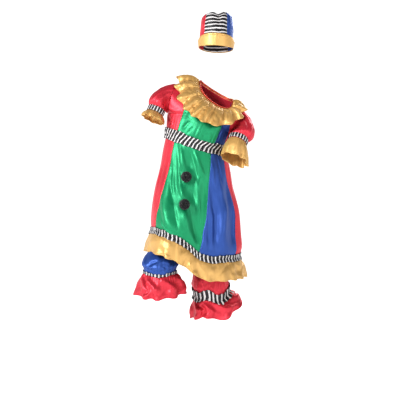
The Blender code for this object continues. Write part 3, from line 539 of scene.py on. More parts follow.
def crumple(points, size, kind):
    """Soft random dents, about -1 to 1: waves in seeded directions, creased where their sum is nil."""
    random = np.random.default_rng(kind)
    points = points + 0.22 * size * np.sin(points[..., [1, 2, 0]] * (2.7 / size) + kind)
    total = np.zeros(points.shape[:-1])
    for _ in range(9):
        way = unit(random.normal(size=3)) * 2 * np.pi / (size * random.uniform(0.7, 1.7))
        total = total + np.sin(points @ way + random.uniform(0, 2 * np.pi)) / 3
    return 0.6 * total + 0.6 * (0.55 - np.abs(total))


def creases(table, angle, along, radius, length):
    """Soft troughs and ridges: each is a bump across a bowed line, fading at both of its ends."""
    x, y = np.radians(angle) * radius, along * length
    total = np.zeros(np.broadcast(x, y).shape)
    for angle0, along0, angle1, along1, bow, width, depth in zip(*table.values()):
        start = np.array((np.radians(angle0) * radius, along0 * length))
        run = np.array((np.radians(angle1) * radius, along1 * length)) - start
        long = np.hypot(*run)
        t = ((x - start[0]) * run[0] + (y - start[1]) * run[1]) / long**2
        aside = ((x - start[0]) * run[1] - (y - start[1]) * run[0]) / long
        inside = np.clip(t, 0, 1)
        aside = aside - 4 * bow * inside * (1 - inside)
        fade = ease(t / 0.3) * ease((1 - t) / 0.35)
        total = total + depth * fade * np.exp(-((aside / width) ** 2))
    return total


def seam_ring(angle):
    """The empire seam: an oval, tilted by the roll and the pitch."""
    turn = np.radians(angle)
    depth = np.where(np.cos(turn) > 0, SKIRT["front"][0], SKIRT["back"][0])
    across = SKIRT["half_width"][0] * np.sin(turn)
    out = -depth * np.cos(turn)
    x = SEAM_CENTRE[0] + across * np.cos(SEAM_ROLL)
    z = SEAM_CENTRE[2] - across * np.sin(SEAM_ROLL) + out * np.sin(SEAM_PITCH)
    return stack(x, out * np.cos(SEAM_PITCH), z)


def folds(angle, along):
    """The sum of the skirt's folds: each is a soft bump across a line that runs down the cloth."""
    total = np.zeros(np.broadcast(angle, along).shape)
    for angle_top, angle_hem, width, depth, start, end in zip(*SKIRT_FOLDS.values()):
        centre = angle_top + (angle_hem - angle_top) * along
        across = wrap(angle - centre) / width
        fade = ease((along - start) / 0.25) * ease((end - along) / 0.25)
        total = total + depth * fade * np.exp(-(across**2))
    return total * away_from_pompoms(angle, along, 13, 0.095)


def away_from_pompoms(angle, along, wide, tall):
    """0 under a pompom, rising to 1 around it."""
    share = 1.0
    for pompom_angle, pompom_along in POMPOMS.values():
        near = (wrap(angle - pompom_angle) / wide) ** 4 + ((along - pompom_along) / tall) ** 4
        share = share * (1 - np.exp(-near))
    return share


def skirt_form(angle, along):
    """Ovals that widen from the empire seam to the hem, pushed out by the knee and the folds."""
    turn = np.radians(angle)
    half_width = curve(SKIRT, "half_width", along)
    depth = np.where(np.cos(turn) > 0, curve(SKIRT, "front", along), curve(SKIRT, "back", along))
    swell = folds(angle, along)
    knee = np.exp(-((wrap(angle - KNEE_ANGLE) / KNEE_SPREAD) ** 2)) * ease((along - 0.3) / 0.65)
    across = half_width * np.cos(SEAM_ROLL * (1 - along)) + swell
    x = curve(SKIRT, "x", along) + across * np.sin(turn)
    y = -(depth + swell) * np.cos(turn) - KNEE_PUSH * knee
    top = seam_ring(angle)[..., 2]
    z = top + (curve(HEM, "height", wrap(angle)) - top) * along
    return stack(x, y, z)


def neck_ring(angle):
    """The neck edge: an oval from side to side, squarer and deeper in front."""
    turn = np.radians(angle)
    cos = np.cos(turn)[..., None]
    drop = np.where(cos > 0, NECK_FRONT, NECK_BACK)
    reach = np.abs(cos) ** np.where(cos > 0, NECK_SQUARE, 1)
    return (NECK_R + NECK_L) / 2 + (NECK_L - NECK_R) / 2 * np.sin(turn)[..., None] + drop * reach


def bodice_top(angle):
    """The upper edge of the front or back: a shoulder seam, the neck edge, a shoulder seam."""
    across = np.sin(np.radians(angle))
    front = np.cos(np.radians(angle)) > 0
    neck_turn = np.degrees(np.arcsin(np.clip(across / NECK_SHARE, -1, 1)))
    neck = neck_ring(np.where(front, neck_turn, 180 - neck_turn))
    along = np.clip((np.abs(across) - NECK_SHARE) / (1 - NECK_SHARE), 0, 1)[..., None]
    right = NECK_R + (SHOULDER_R - NECK_R) * along
    left = NECK_L + (SHOULDER_L - NECK_L) * along
    shoulder = np.where(across[..., None] < 0, right, left)
    return np.where(along > 0, shoulder, neck)


def armhole_half(along):
    """Half the width of the armhole at a height: an oval from the armpit to the shoulder."""
    part = np.clip((along - ARMPIT) / (1 - ARMPIT), 0, 1)
    return 2 * ARMHOLE_HALF * np.sqrt(part * (1 - part))


def bodice_form(angle, along):
    """Columns from the empire seam to the top edge, rounded over the chest and cut at the armholes."""
    cos = np.cos(np.radians(angle))
    side = np.where(cos > 0, -1, 1)
    cos = np.abs(cos)
    low, top = seam_ring(angle), bodice_top(angle)
    lean = along**1.3
    chest = np.where(side < 0, CHEST_ROUND, BACK_ROUND) * np.sin(np.pi * along) * cos
    y = low[..., 1] * (1 - lean) + top[..., 1] * lean
    y = y + side * (chest + armhole_half(along) * (1 - cos))
    swell = SIDE_ROUND * np.sin(np.pi * along) * np.clip(np.sin(np.radians(angle)), -1, 0.3) ** 3
    x = low[..., 0] + (top[..., 0] - low[..., 0]) * along + swell
    z = low[..., 2] + (top[..., 2] - low[..., 2]) * along
    return stack(x, y, z)


def collar_form(angle, along):
    """The neck edge carried outward along an arc, with waves and scallops that grow towards the edge."""
    step = 1e-2
    ring = neck_ring(angle)
    middle = (NECK_R + NECK_L) / 2
    tangent = unit(neck_ring(angle + step) - neck_ring(angle - step))
    radial = ring - middle
    radial = unit(radial - (radial * tangent).sum(-1, keepdims=True) * tangent)
    down = DOWN_THE_NECK - (DOWN_THE_NECK * radial).sum(-1, keepdims=True) * radial
    down = unit(down - (down * tangent).sum(-1, keepdims=True) * tangent)
    turn = wrap(angle)
    depth = curve(COLLAR, "depth", turn)
    root, edge = np.radians(curve(COLLAR, "bend_root", turn)), np.radians(curve(COLLAR, "bend_edge", turn))
    bend = (root + (edge - root) * along / 2)[..., None]
    wave = np.cos(uneven(angle, COLLAR_WAVES))
    scallop = COLLAR_SCALLOP * along**3 * wave
    reach = (COLLAR_ROOT_REACH + depth * along + scallop)[..., None]
    base = ring + reach * (np.cos(bend) * radial + np.sin(bend) * down)
    belly = COLLAR_BELLY * np.sin(np.pi * along)
    lift = COLLAR_ROOT_LIFT + belly + COLLAR_WAVE_DEPTH * along**0.8 * (wave + 0.55)
    return base + lift[..., None] * (-np.cos(bend) * down + np.sin(bend) * radial)


def arm_frame(sleeve):
    """Two directions across the arm: outward to the arm's outer side, and forward."""
    arm = unit(sleeve["arm"])
    outer = unit((-arm[2], 0.0, arm[0]))
    if sleeve is SLEEVES["right"]:
        outer = -outer
    front = unit(np.cross(arm, outer))
    if front[1] > 0:
        front = -front
    return outer, front


def across_arm(side, angle):
    """The direction out of the arm at an angle: 0 is towards the body, 90 the front."""
    outer, front = arm_frame(SLEEVES[side])
    turn = np.radians(angle)[..., None]
    return -np.cos(turn) * outer + np.sin(turn) * front


def armhole(side, angle):
    """The armhole's edge: 0 is the armpit, 90 the front, 180 the shoulder point."""
    turn = np.radians(angle)
    along = ARMPIT + (1 - ARMPIT) * (1 - np.cos(turn)) / 2
    edge = -90 if side == "right" else 90
    ring = bodice_form(np.full(np.shape(along), float(edge)), along)
    away = -0.0011 if side == "right" else 0.0011
    return stack(ring[..., 0] + away, -ARMHOLE_HALF * np.sin(turn), ring[..., 2])


def cuff_ring(side, angle):
    """The round ring where the sleeve is gathered."""
    sleeve = SLEEVES[side]
    return np.array(sleeve["cuff"]) + sleeve["cuff_radius"] * across_arm(side, angle)


def sleeve_form(side, angle, along):
    """From the armhole to the cuff (0 to 1) on a curve that leaves away from the body, then down the cuff."""
    sleeve = SLEEVES[side]
    arm, away = unit(sleeve["arm"]), unit(sleeve["away"])
    share = ((1 - np.cos(np.radians(angle))) / 2)[..., None]
    radial = across_arm(side, angle)
    start, end = armhole(side, angle), cuff_ring(side, angle)
    leave = start + away * (0.016 + 0.034 * share)
    arrive = end + sleeve["puff"] * (0.10 + 0.90 * share) * radial - arm * (0.012 + 0.028 * share)
    t = np.clip(along, 0, 1)[..., None]
    bezier = (1 - t) ** 3 * start + 3 * (1 - t) ** 2 * t * leave + 3 * (1 - t) * t**2 * arrive + t**3 * end
    ripple = PUFF_GATHER_DEPTH * np.cos(uneven(angle, PUFF_GATHERS))[..., None]
    cuff = end + arm * (CUFF_TALL * (along - 1) / CUFF_SHARE)[..., None]
    return np.where((along > 1)[..., None], cuff, bezier + ripple * share * np.sin(np.pi * t) * radial)


def sleeve_ruffle_form(side, angle, along):
    """From the cuff ring to the wider edge ring, in deep uneven waves."""
    sleeve = SLEEVES[side]
    outer, front = arm_frame(sleeve)
    turn = np.radians(angle)[..., None]
    start = cuff_ring(side, angle) + unit(sleeve["arm"]) * CUFF_TALL
    wide = sleeve["edge_wide"] * -np.cos(turn) * outer
    end = np.array(sleeve["edge"]) + wide + sleeve["edge_deep"] * np.sin(turn) * front
    base = start + (end - start) * along[..., None]
    wave = np.cos(uneven(angle, SLEEVE_WAVES, 0.4))
    calm = 0.35 + 0.65 * (1 - np.cos(np.radians(angle))) / 2
    lift = SLEEVE_RUFFLE_BELLY * np.sin(np.pi * along) + SLEEVE_WAVE_DEPTH * along * wave * calm
    return base + lift[..., None] * across_arm(side, angle)


def hem_ruffle_form(angle, along):
    """From the hem seam down and outward, in uneven waves."""
    turn = np.radians(angle)
    ring = skirt_form(angle, np.ones(np.shape(along)))
    wave = np.cos(uneven(angle, HEM_WAVES))
    belly = HEM_RUFFLE_BELLY * np.sin(np.pi * along)
    calm = 0.55 + 0.30 * np.sin(3 * turn + 1.1) * np.sin(5 * turn)
    flare = HEM_RUFFLE_FLARE * along + belly + HEM_WAVE_DEPTH * along**0.8 * wave * calm
    drop = HEM_RUFFLE_DROP * along * (1 + 0.02 * wave)
    return ring + stack(flare * np.sin(turn), -flare * np.cos(turn), -drop)


def bloomer_form(side, angle, along):
    """Half of the pelvis (-1 to 0) turning into one leg (0 to 1); 0 degrees is the centre seam or inseam."""
    sign = -1 if side == "right" else 1
    turn = np.radians(angle)
    rows = LEGS[side]
    low = np.clip(along, 0, 1)
    x = curve(rows, "x", low) - sign * curve(rows, "half_width", low) * np.cos(turn)
    y = curve(rows, "y", low) - curve(rows, "half_depth", low) * np.sin(turn)
    sag = curve(LEG_EDGES[side], "band_sag", wrap(sign * (angle - 90)))
    leg = stack(x, y, curve(rows, "z", low) + sag * ease((low - 0.7) / 0.24))
    high = np.clip(-along, 0, 1)
    half = turn / 2
    width = PELVIS_HALF_WIDTH + 0.022 * np.sin(np.pi * high * 0.75) - 0.020 * high
    deep = PELVIS_HALF_DEPTH + 0.014 * np.sin(np.pi * high)
    height = rows["z"][0] + (WAIST[2] - rows["z"][0]) * high
    centre_seam = np.sqrt(np.clip(1 - (1 - high) ** 3, 0, 1))
    pelvis_x = WAIST[0] + sign * width * np.sin(half)
    pelvis_y = WAIST[1] - deep * np.cos(half) * (1 + centre_seam) / 2
    part = ease(high / PELVIS_BLEND)
    first = {column: values[0] for column, values in rows.items()}
    across_x = first["x"] - sign * first["half_width"] * np.cos(turn)
    across_y = first["y"] - first["half_depth"] * np.sin(turn)
    blend = stack(across_x * (1 - part) + pelvis_x * part, across_y * (1 - part) + pelvis_y * part, height)
    return np.where((along < 0)[..., None], blend, leg)


def leg_angle(side, angle):
    """The angle from the inseam, for an angle from the front."""
    return 90 + angle if side == "left" else 90 - angle


def leg_ruffle_form(side, angle, along):
    """From the leg's gathered edge down and outward, in broad uneven waves."""
    turn = np.radians(angle)
    ring = bloomer_form(side, leg_angle(side, angle), np.ones(np.shape(along)))
    rows = LEG_EDGES[side]
    spin = wrap(angle)
    wave = np.cos(uneven(angle, LEG_WAVES, 0.5) + (0.9 if side == "left" else 0.0))
    reach = curve(rows, "reach", spin) * (1 - (1 - along) ** 2) + LEG_WAVE_DEPTH * along * wave
    drop = curve(rows, "drop", spin) * along * (1 + 0.035 * wave)
    return ring + stack(reach * np.sin(turn), -reach * np.cos(turn), -drop)


def hat_frame():
    """The hat's own directions: across, back and up."""
    across = np.array((np.cos(HAT_ROLL), 0.0, -np.sin(HAT_ROLL)))
    back = np.array((0.0, np.cos(HAT_PITCH), np.sin(HAT_PITCH)))
    return across, back, np.cross(across, back)


def hat_point(x, y, z):
    """A point given in the hat's own directions."""
    across, back, up = hat_frame()
    return np.array(HAT_BASE) + x[..., None] * across + y[..., None] * back + z[..., None] * up


def hat_form(angle, along):
    """The crown: ovals that narrow upwards, with a dent at the top of the front."""
    turn = np.radians(angle)
    dent = np.exp(-((wrap(angle - 2) / 15) ** 2)) * ease((along - 0.45) / 0.55)
    slump = 0.004 * np.sin(2 * turn + 0.6) * along**2
    width, depth = curve(HAT, "half_width", along), curve(HAT, "half_depth", along) - HAT_DENT * dent
    height = curve(HAT, "height", along) - 0.5 * HAT_DENT * dent + slump
    return hat_point(width * np.sin(turn), -depth * np.cos(turn), height)


def hat_top_form(angle, along):
    """The tip: the crown's upper edge drawn in to a sunken middle."""
    edge = hat_form(angle, np.ones(np.shape(along)))
    _, _, up = hat_frame()
    middle = np.array(HAT_BASE) + (HAT["height"][-1] - HAT_SINK) * up
    swell = HAT_SINK * np.sin(np.pi * np.sqrt(along))
    return middle + (edge - middle) * along[..., None] + swell[..., None] * up


def hat_brim_form(angle, along):
    """The turned-up brim: highest in front, standing off the crown at its upper edge."""
    turn = np.radians(angle)
    tall = BRIM_BACK + (BRIM_FRONT - BRIM_BACK) * ease((np.cos(turn) + 0.25) / 1.25)
    height = tall * along - 0.004 - 0.010 * ease(np.cos(turn))
    off = BRIM_ROOT_OFF + (BRIM_EDGE_OFF - BRIM_ROOT_OFF) * along
    width = curve(HAT, "half_width", np.clip(height, 0, None) / HAT["height"][-1])
    depth = curve(HAT, "half_depth", np.clip(height, 0, None) / HAT["height"][-1])
    return hat_point((width + off) * np.sin(turn), -(depth + off) * np.cos(turn), height)


def ring_grid(columns, rows, low, high, start=-180.0):
    """Angles and shares for a closed ring: rows from low to high."""
    angle = start + np.linspace(0, 360, columns + 1)[None, :-1] * np.ones((rows + 1, 1))
    along = np.linspace(low, high, rows + 1)[:, None] * np.ones(columns)
    return angle, along


def panel_grid(seams, columns, rows, low, high):
    """Angles and shares for panels side by side, and the columns where each panel starts."""
    along = np.linspace(low, high, rows + 1)[:, None]
    runs = []
    for left, right, count in zip(seams[:-1], seams[1:], columns):
        share = np.linspace(0, 1, count + 1)[None, :-1]
        runs.append(left(along) + (right(along) - left(along)) * share)
    runs.append(seams[-1](along))
    edges = np.concatenate([[0], np.cumsum(columns)])
    return np.concatenate(runs, 1), along * np.ones(edges[-1] + 1), edges


def straight_seam(angle):
    """A seam that stays at one angle."""
    return lambda along: np.full_like(along, float(angle))


def seam_lines(table, start, end):
    """The seams of the four front panels, as angles that change along the cloth."""
    names = ("right_side", "centre", "left_side")
    between = [lambda along, name=name: curve(table, name, along) for name in names]
    return [straight_seam(start), *between, straight_seam(end)]


def joined(points):
    """A closed ring of points with its first column repeated at its end."""
    return np.concatenate([points, points[:, :1]], 1)


def directions(points, closed):
    """Unit vectors across and up the cloth, and out of it, from neighbouring points of the grid."""
    if closed:
        across = np.roll(points, -1, 1) - np.roll(points, 1, 1)
    else:
        across = np.gradient(points, axis=1)
    up = np.gradient(points, axis=0)
    out = unit(np.cross(across, up))
    return unit(across), unit(up), out


def raised(points, height, closed, aside=None, rise=None):
    """The grid moved out by a height, and across or up the cloth where those are given."""
    across, up, out = directions(points, closed)
    moved = points + height[..., None] * out
    if aside is not None:
        moved = moved + aside[..., None] * across
    if rise is not None:
        moved = moved + rise[..., None] * up
    return moved


def flat_map(points, closed):
    """Where each point lies on the cloth, laid flat: distances along its middle row and column."""
    ring = joined(points) if closed else points
    steps = np.linalg.norm(np.diff(ring, axis=1), axis=-1).mean(0)
    across = np.concatenate([[0], np.cumsum(steps)])
    climbs = np.linalg.norm(np.diff(ring, axis=0), axis=-1).mean(1)
    up = np.concatenate([[0], np.cumsum(climbs)])
    return np.meshgrid(across, up)


def cloth_piece(name, points, closed, material, thickness, edges="bottom top", flip=False, laid=None):
    """A named cloth piece from a grid of points: its mesh, UV map, edge distances and thickness."""
    rows, columns = points.shape[:2]
    across, up = flat_map(points, closed)
    flat_across, flat_up = laid or (across, up)
    i, j = np.meshgrid(np.arange(rows - 1), np.arange(columns - (not closed)), indexing="ij")
    i, j = i.ravel(), j.ravel()
    corners = ((i, j), (i, j + 1), (i + 1, j + 1), (i + 1, j))
    if flip:
        corners = corners[::-1]
    faces = np.stack([a * columns + b % columns for a, b in corners], -1)
    mesh = bpy.data.meshes.new(name)
    mesh.from_pydata(points.reshape(-1, 3), [], faces)
    uv = mesh.uv_layers.new(name="cloth")
    flat = np.stack([np.stack([flat_across[a, b], flat_up[a, b]], -1) for a, b in corners], 1)
    uv.data.foreach_set("uv", flat.astype(np.float32).ravel())
    nearest = np.full(points.shape[:2], 1.0)
    grid_across, grid_up = across[:, :columns], up[:, :columns]
    if "bottom" in edges:
        nearest = np.minimum(nearest, grid_up)
    if "top" in edges:
        nearest = np.minimum(nearest, grid_up[-1:] - grid_up)
    if "sides" in edges:
        nearest = np.minimum(nearest, np.minimum(grid_across, grid_across[:, -1:] - grid_across))
    edge = mesh.attributes.new("edge", "FLOAT", "POINT")
    edge.data.foreach_set("value", nearest.astype(np.float32).ravel())
    mesh.shade_smooth()
    mesh.materials.append(material)
    piece = bpy.data.objects.new(name, mesh)
    bpy.context.scene.collection.objects.link(piece)
    wall = piece.modifiers.new("thickness", "SOLIDIFY")
    wall.thickness = thickness
    wall.offset = -1.0
    wall.use_rim = True
    return piece


def dressed(piece, node):
    """Fastens a cloth piece to the frame in place of its node."""
    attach(piece, "root")
    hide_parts(node)


def cut_of(points, closed):
    """The width, length and area of a grid of cloth, laid flat."""
    ring = joined(points) if closed else points
    wide = np.linalg.norm(np.diff(ring, axis=1), axis=-1).sum(1).max()
    long = np.linalg.norm(np.diff(ring, axis=0), axis=-1).sum(0).max()
    squares = np.cross(ring[1:, 1:] - ring[:-1, :-1], ring[1:, :-1] - ring[:-1, 1:])
    area = np.linalg.norm(squares, axis=-1).sum() / 2
    return (float(wide), float(long)), float(min(area, wide * long))


def new_group(name, inputs, outputs):
    """An empty shader node group with its named sockets."""
    group = bpy.data.node_groups.new(name, "ShaderNodeTree")
    for label, kind, default in inputs:
        socket = group.interface.new_socket(label, in_out="INPUT", socket_type=kind)
        if default is not None:
            socket.default_value = default
    for label, kind in outputs:
        group.interface.new_socket(label, in_out="OUTPUT", socket_type=kind)
    entry = group.nodes.new("NodeGroupInput")
    leave = group.nodes.new("NodeGroupOutput")
    return group, entry, leave


def math_node(tree, operation, a, b=None, c=None):
    """A Math node whose inputs are sockets or numbers."""
    node = tree.nodes.new("ShaderNodeMath")
    node.operation = operation
    for socket, value in zip(node.inputs, (a, b, c)):
        if isinstance(value, bpy.types.NodeSocket):
            tree.links.new(value, socket)
        elif value is not None:
            socket.default_value = value
    return node.outputs[0]


def placed_node(tree, kind, group=None, **values):
    """A node, or a node group, with its inputs linked or set by name."""
    node = tree.nodes.new(kind)
    if group:
        node.node_tree = group
    for label, value in values.items():
        socket = node.inputs[label.replace("_", " ")]
        if isinstance(value, bpy.types.NodeSocket):
            tree.links.new(value, socket)
        else:
            socket.default_value = value
    return node


def mix_colours(tree, share, first, second):
    """A colour between two others; each is a socket or a colour."""
    node = tree.nodes.new("ShaderNodeMix")
    node.data_type = "RGBA"
    tree.links.new(share, node.inputs["Factor"])
    for label, colour in (("A", first), ("B", second)):
        if isinstance(colour, bpy.types.NodeSocket):
            tree.links.new(colour, node.inputs[label])
        else:
            node.inputs[label].default_value = colour
    return node.outputs["Result"]


def split_flat(tree, vector):
    """The two distances of a flat cloth coordinate."""
    split = tree.nodes.new("ShaderNodeSeparateXYZ")
    tree.links.new(vector, split.inputs[0])
    return split.outputs["X"], split.outputs["Y"]


def weave_group():
    """Satin weave: long floats in slanting rows, as a height from 0 to 1."""
    float_, vector = "NodeSocketFloat", "NodeSocketVector"
    group, entry, leave = new_group(
        "satin_weave",
        [("Flat", vector, None), ("Thread", float_, 0.0005)],
        [("Height", float_), ("Slub", float_)],
    )
    across, up = split_flat(group, entry.outputs["Flat"])
    warp = math_node(group, "DIVIDE", across, entry.outputs["Thread"])
    weft = math_node(group, "DIVIDE", up, entry.outputs["Thread"])
    slant = math_node(group, "MULTIPLY_ADD", weft, 0.2, warp)
    rows = math_node(group, "SINE", math_node(group, "MULTIPLY", slant, 2 * np.pi))
    floats = math_node(group, "SINE", math_node(group, "MULTIPLY", warp, np.pi))
    height = math_node(group, "MULTIPLY_ADD", math_node(group, "MULTIPLY", rows, floats), 0.5, 0.5)
    stretch = placed_node(group, "ShaderNodeMapping", Vector=entry.outputs["Flat"], Scale=(420.0, 14.0, 1.0))
    slub = placed_node(group, "ShaderNodeTexNoise", Vector=stretch.outputs[0], Scale=1.0, Detail=3.0)
    group.links.new(height, leave.inputs["Height"])
    group.links.new(slub.outputs["Fac"], leave.inputs["Slub"])
    return group


def tone_group():
    """Colour of a worn cloth: a light and a dark tone mixed by broad soft noise and by the slubs."""
    float_, vector, colour = "NodeSocketFloat", "NodeSocketVector", "NodeSocketColor"
    group, entry, leave = new_group(
        "cloth_tone",
        [("Place", vector, None), ("Slub", float_, 0.5), ("Light", colour, None), ("Dark", colour, None)],
        [("Color", colour)],
    )
    broad = placed_node(group, "ShaderNodeTexNoise", Vector=entry.outputs["Place"], Scale=9.0, Detail=2.0)
    share = math_node(group, "MULTIPLY_ADD", broad.outputs["Fac"], 0.7, -0.1)
    share = math_node(group, "MULTIPLY_ADD", entry.outputs["Slub"], 0.4, share)
    mixed = mix_colours(group, share, entry.outputs["Light"], entry.outputs["Dark"])
    group.links.new(mixed, leave.inputs["Color"])
    return group


def stitch_group():
    """A row of stitches beside an edge: 1 on a thread, 0 elsewhere, with a groove around it."""
    float_, vector = "NodeSocketFloat", "NodeSocketVector"
    group, entry, leave = new_group(
        "stitch_row",
        [("Flat", vector, None), ("Edge", float_, 0.0), ("Inset", float_, 0.004), ("Stitch", float_, 0.003)],
        [("Thread", float_), ("Groove", float_)],
    )
    across, up = split_flat(group, entry.outputs["Flat"])
    run = math_node(group, "DIVIDE", math_node(group, "ADD", across, up), entry.outputs["Stitch"])
    dash = math_node(group, "GREATER_THAN", math_node(group, "FRACT", run), 0.28)
    off = math_node(group, "SUBTRACT", entry.outputs["Edge"], entry.outputs["Inset"])
    off = math_node(group, "ABSOLUTE", off)
    thread = math_node(group, "MULTIPLY", math_node(group, "LESS_THAN", off, 0.00035), dash)
    groove = math_node(group, "SUBTRACT", 1.0, math_node(group, "MULTIPLY", off, 900.0))
    groove = math_node(group, "MAXIMUM", groove, 0.0)
    group.links.new(thread, leave.inputs["Thread"])
    group.links.new(groove, leave.inputs["Groove"])
    return group


def stripe_group():
    """Woven stripes across or along a flat cloth: 0 is dark and 1 is light."""
    float_, vector = "NodeSocketFloat", "NodeSocketVector"
    group, entry, leave = new_group(
        "woven_stripes",
        [
            ("Flat", vector, None),
            ("Period", float_, 0.017),
            ("Slant", float_, 0.0),
            ("Along", float_, 0.0),
            ("Light Share", float_, 0.5),
        ],
        [("Light", float_)],
    )
    across, up = split_flat(group, entry.outputs["Flat"])
    wobble = placed_node(group, "ShaderNodeTexNoise", Vector=entry.outputs["Flat"], Scale=60.0, Detail=1.0)
    wander = math_node(group, "MULTIPLY_ADD", wobble.outputs["Fac"], 0.0030, -0.0015)
    broad = placed_node(group, "ShaderNodeTexNoise", Vector=entry.outputs["Flat"], Scale=14.0, Detail=1.0)
    wander = math_node(group, "MULTIPLY_ADD", broad.outputs["Fac"], 0.016, wander)
    leaning = math_node(group, "MULTIPLY_ADD", up, entry.outputs["Slant"], across)
    swap = math_node(group, "SUBTRACT", 1.0, entry.outputs["Along"])
    across_part = math_node(group, "MULTIPLY", leaning, swap)
    up_part = math_node(group, "MULTIPLY", up, entry.outputs["Along"])
    place = math_node(group, "ADD", across_part, up_part)
    turn = math_node(group, "DIVIDE", math_node(group, "ADD", place, wander), entry.outputs["Period"])
    saw = math_node(group, "ABSOLUTE", math_node(group, "SUBTRACT", math_node(group, "FRACT", turn), 0.5))
    half = math_node(group, "MULTIPLY", entry.outputs["Light Share"], 0.5)
    light = math_node(group, "MULTIPLY_ADD", math_node(group, "SUBTRACT", half, saw), 30.0, 0.5)
    light = math_node(group, "MINIMUM", math_node(group, "MAXIMUM", light, 0.0), 1.0)
    group.links.new(light, leave.inputs["Light"])
    return group


class Cloths:
    """The costume's materials, made once and shared by its pieces."""

    def __init__(self, look):
        self.look = look
        self.groups = {
            "weave": weave_group(),
            "tone": tone_group(),
            "stitch": stitch_group(),
            "stripe": stripe_group(),
        }
        self.made = {}

    def base(self, name):
        """A material with its Principled shader, flat coordinates and edge distance."""
        material = bpy.data.materials.new(name)
        material.use_nodes = True
        tree = material.node_tree
        flat = tree.nodes.new("ShaderNodeUVMap")
        flat.uv_map = "cloth"
        edge = tree.nodes.new("ShaderNodeAttribute")
        edge.attribute_name = "edge"
        place = tree.nodes.new("ShaderNodeTexCoord").outputs["Object"]
        return material, tree, tree.nodes["Principled BSDF"], flat.outputs[0], edge.outputs["Fac"], place

    def group(self, tree, name, **values):
        """One of the shared node groups placed in a material."""
        return placed_node(tree, "ShaderNodeGroup", self.groups[name], **values)

    def finish(self, tree, shader, flat, edge, weave, colour, inset, thread_colour):
        """Joins colour, stitches and bump to the shader."""
        stitch = self.group(tree, "stitch", Flat=flat, Edge=edge, Inset=inset)
        sewn = mix_colours(tree, stitch.outputs["Thread"], colour, thread_colour)
        tree.links.new(sewn, shader.inputs["Base Color"])
        height = math_node(tree, "MULTIPLY", weave.outputs["Height"], 0.10)
        height = math_node(tree, "MULTIPLY_ADD", weave.outputs["Slub"], 0.5, height)
        groove = math_node(tree, "MULTIPLY", stitch.outputs["Groove"], 1.6)
        height = math_node(tree, "SUBTRACT", height, groove)
        height = math_node(tree, "MULTIPLY_ADD", stitch.outputs["Thread"], 1.4, height)
        bump = placed_node(tree, "ShaderNodeBump", Height=height, Strength=0.5, Distance=0.0004)
        tree.links.new(bump.outputs[0], shader.inputs["Normal"])

    def satin(self, colour, inset=0.006):
        """Glossy satin of one colour."""
        key = (colour, inset)
        if key in self.made:
            return self.made[key]
        material, tree, shader, flat, edge, place = self.base(f"{colour}_satin_{int(inset * 1e4)}")
        weave = self.group(tree, "weave", Flat=flat)
        tint = np.array(getattr(self.look, colour))
        light, dark = (*np.clip(tint * 1.18 + 0.012, 0, 1), 1.0), (*tint * 0.80, 1.0)
        tone = self.group(tree, "tone", Place=place, Slub=weave.outputs["Slub"], Light=light, Dark=dark)
        self.finish(tree, shader, flat, edge, weave, tone.outputs["Color"], inset, (*tint * 0.55, 1.0))
        shader.inputs["Roughness"].default_value = self.look.satin_roughness
        shader.inputs["Metallic"].default_value = self.look.satin_lustre
        shader.inputs["Specular IOR Level"].default_value = 0.5
        shader.inputs["Anisotropic"].default_value = 0.5
        shader.inputs["Sheen Weight"].default_value = 0.06
        shader.inputs["Sheen Roughness"].default_value = 0.35
        self.made[key] = material
        return material

    def striped(self, period, slant=0.0, along=0.0, share=BAND_LIGHT, inset=0.004):
        """Black and white satin stripes; along is 1 where they run along the piece."""
        key = (period, slant, along, share, inset)
        if key in self.made:
            return self.made[key]
        material, tree, shader, flat, edge, place = self.base(f"striped_satin_{len(self.made)}")
        weave = self.group(tree, "weave", Flat=flat)
        slub = weave.outputs["Slub"]
        pattern = {"Period": period, "Slant": slant, "Along": along, "Light_Share": share}
        stripe = self.group(tree, "stripe", Flat=flat, **pattern)
        white, black = np.array(self.look.white), np.array(self.look.black)
        pale = self.group(tree, "tone", Place=place, Slub=slub, Light=(*white, 1), Dark=(*white * 0.82, 1))
        deep = self.group(tree, "tone", Place=place, Slub=slub, Light=(*black * 1.6, 1), Dark=(*black, 1))
        both = mix_colours(tree, stripe.outputs["Light"], deep.outputs["Color"], pale.outputs["Color"])
        self.finish(tree, shader, flat, edge, weave, both, inset, (*white * 0.6, 1.0))
        shader.inputs["Roughness"].default_value = 0.46
        shader.inputs["Specular IOR Level"].default_value = 0.3
        shader.inputs["Sheen Weight"].default_value = 0.04
        self.made[key] = material
        return material

    def yarn(self):
        """Matt black yarn with a little grey in it."""
        material = bpy.data.materials.new("black_yarn")
        material.use_nodes = True
        tree = material.node_tree
        shader = tree.nodes["Principled BSDF"]
        place = tree.nodes.new("ShaderNodeTexCoord").outputs["Object"]
        noise = placed_node(tree, "ShaderNodeTexNoise", Vector=place, Scale=260.0, Detail=3.0)
        ramp = tree.nodes.new("ShaderNodeValToRGB")
        ramp.color_ramp.elements[0].position = 0.42
        ramp.color_ramp.elements[0].color = (*self.look.black, 1.0)
        ramp.color_ramp.elements[1].position = 0.72
        ramp.color_ramp.elements[1].color = (*(np.array(self.look.black) * 4 + 0.02), 1.0)
        tree.links.new(noise.outputs["Fac"], ramp.inputs[0])
        tree.links.new(ramp.outputs[0], shader.inputs["Base Color"])
        bump = placed_node(tree, "ShaderNodeBump", Height=noise.outputs["Fac"], Strength=0.6, Distance=0.0006)
        tree.links.new(bump.outputs[0], shader.inputs["Normal"])
        shader.inputs["Roughness"].default_value = 0.88
        shader.inputs["Sheen Weight"].default_value = 0.3
        return material


def colour_setting(name, description, default):
    """A colour that the panel shows."""
    return FloatVectorProperty(name=name, description=description, subtype="COLOR", default=default)


def length_setting(name, description, default):
    """A length in metres that the panel shows."""
    return FloatProperty(name=name, description=description, default=default, unit="LENGTH")


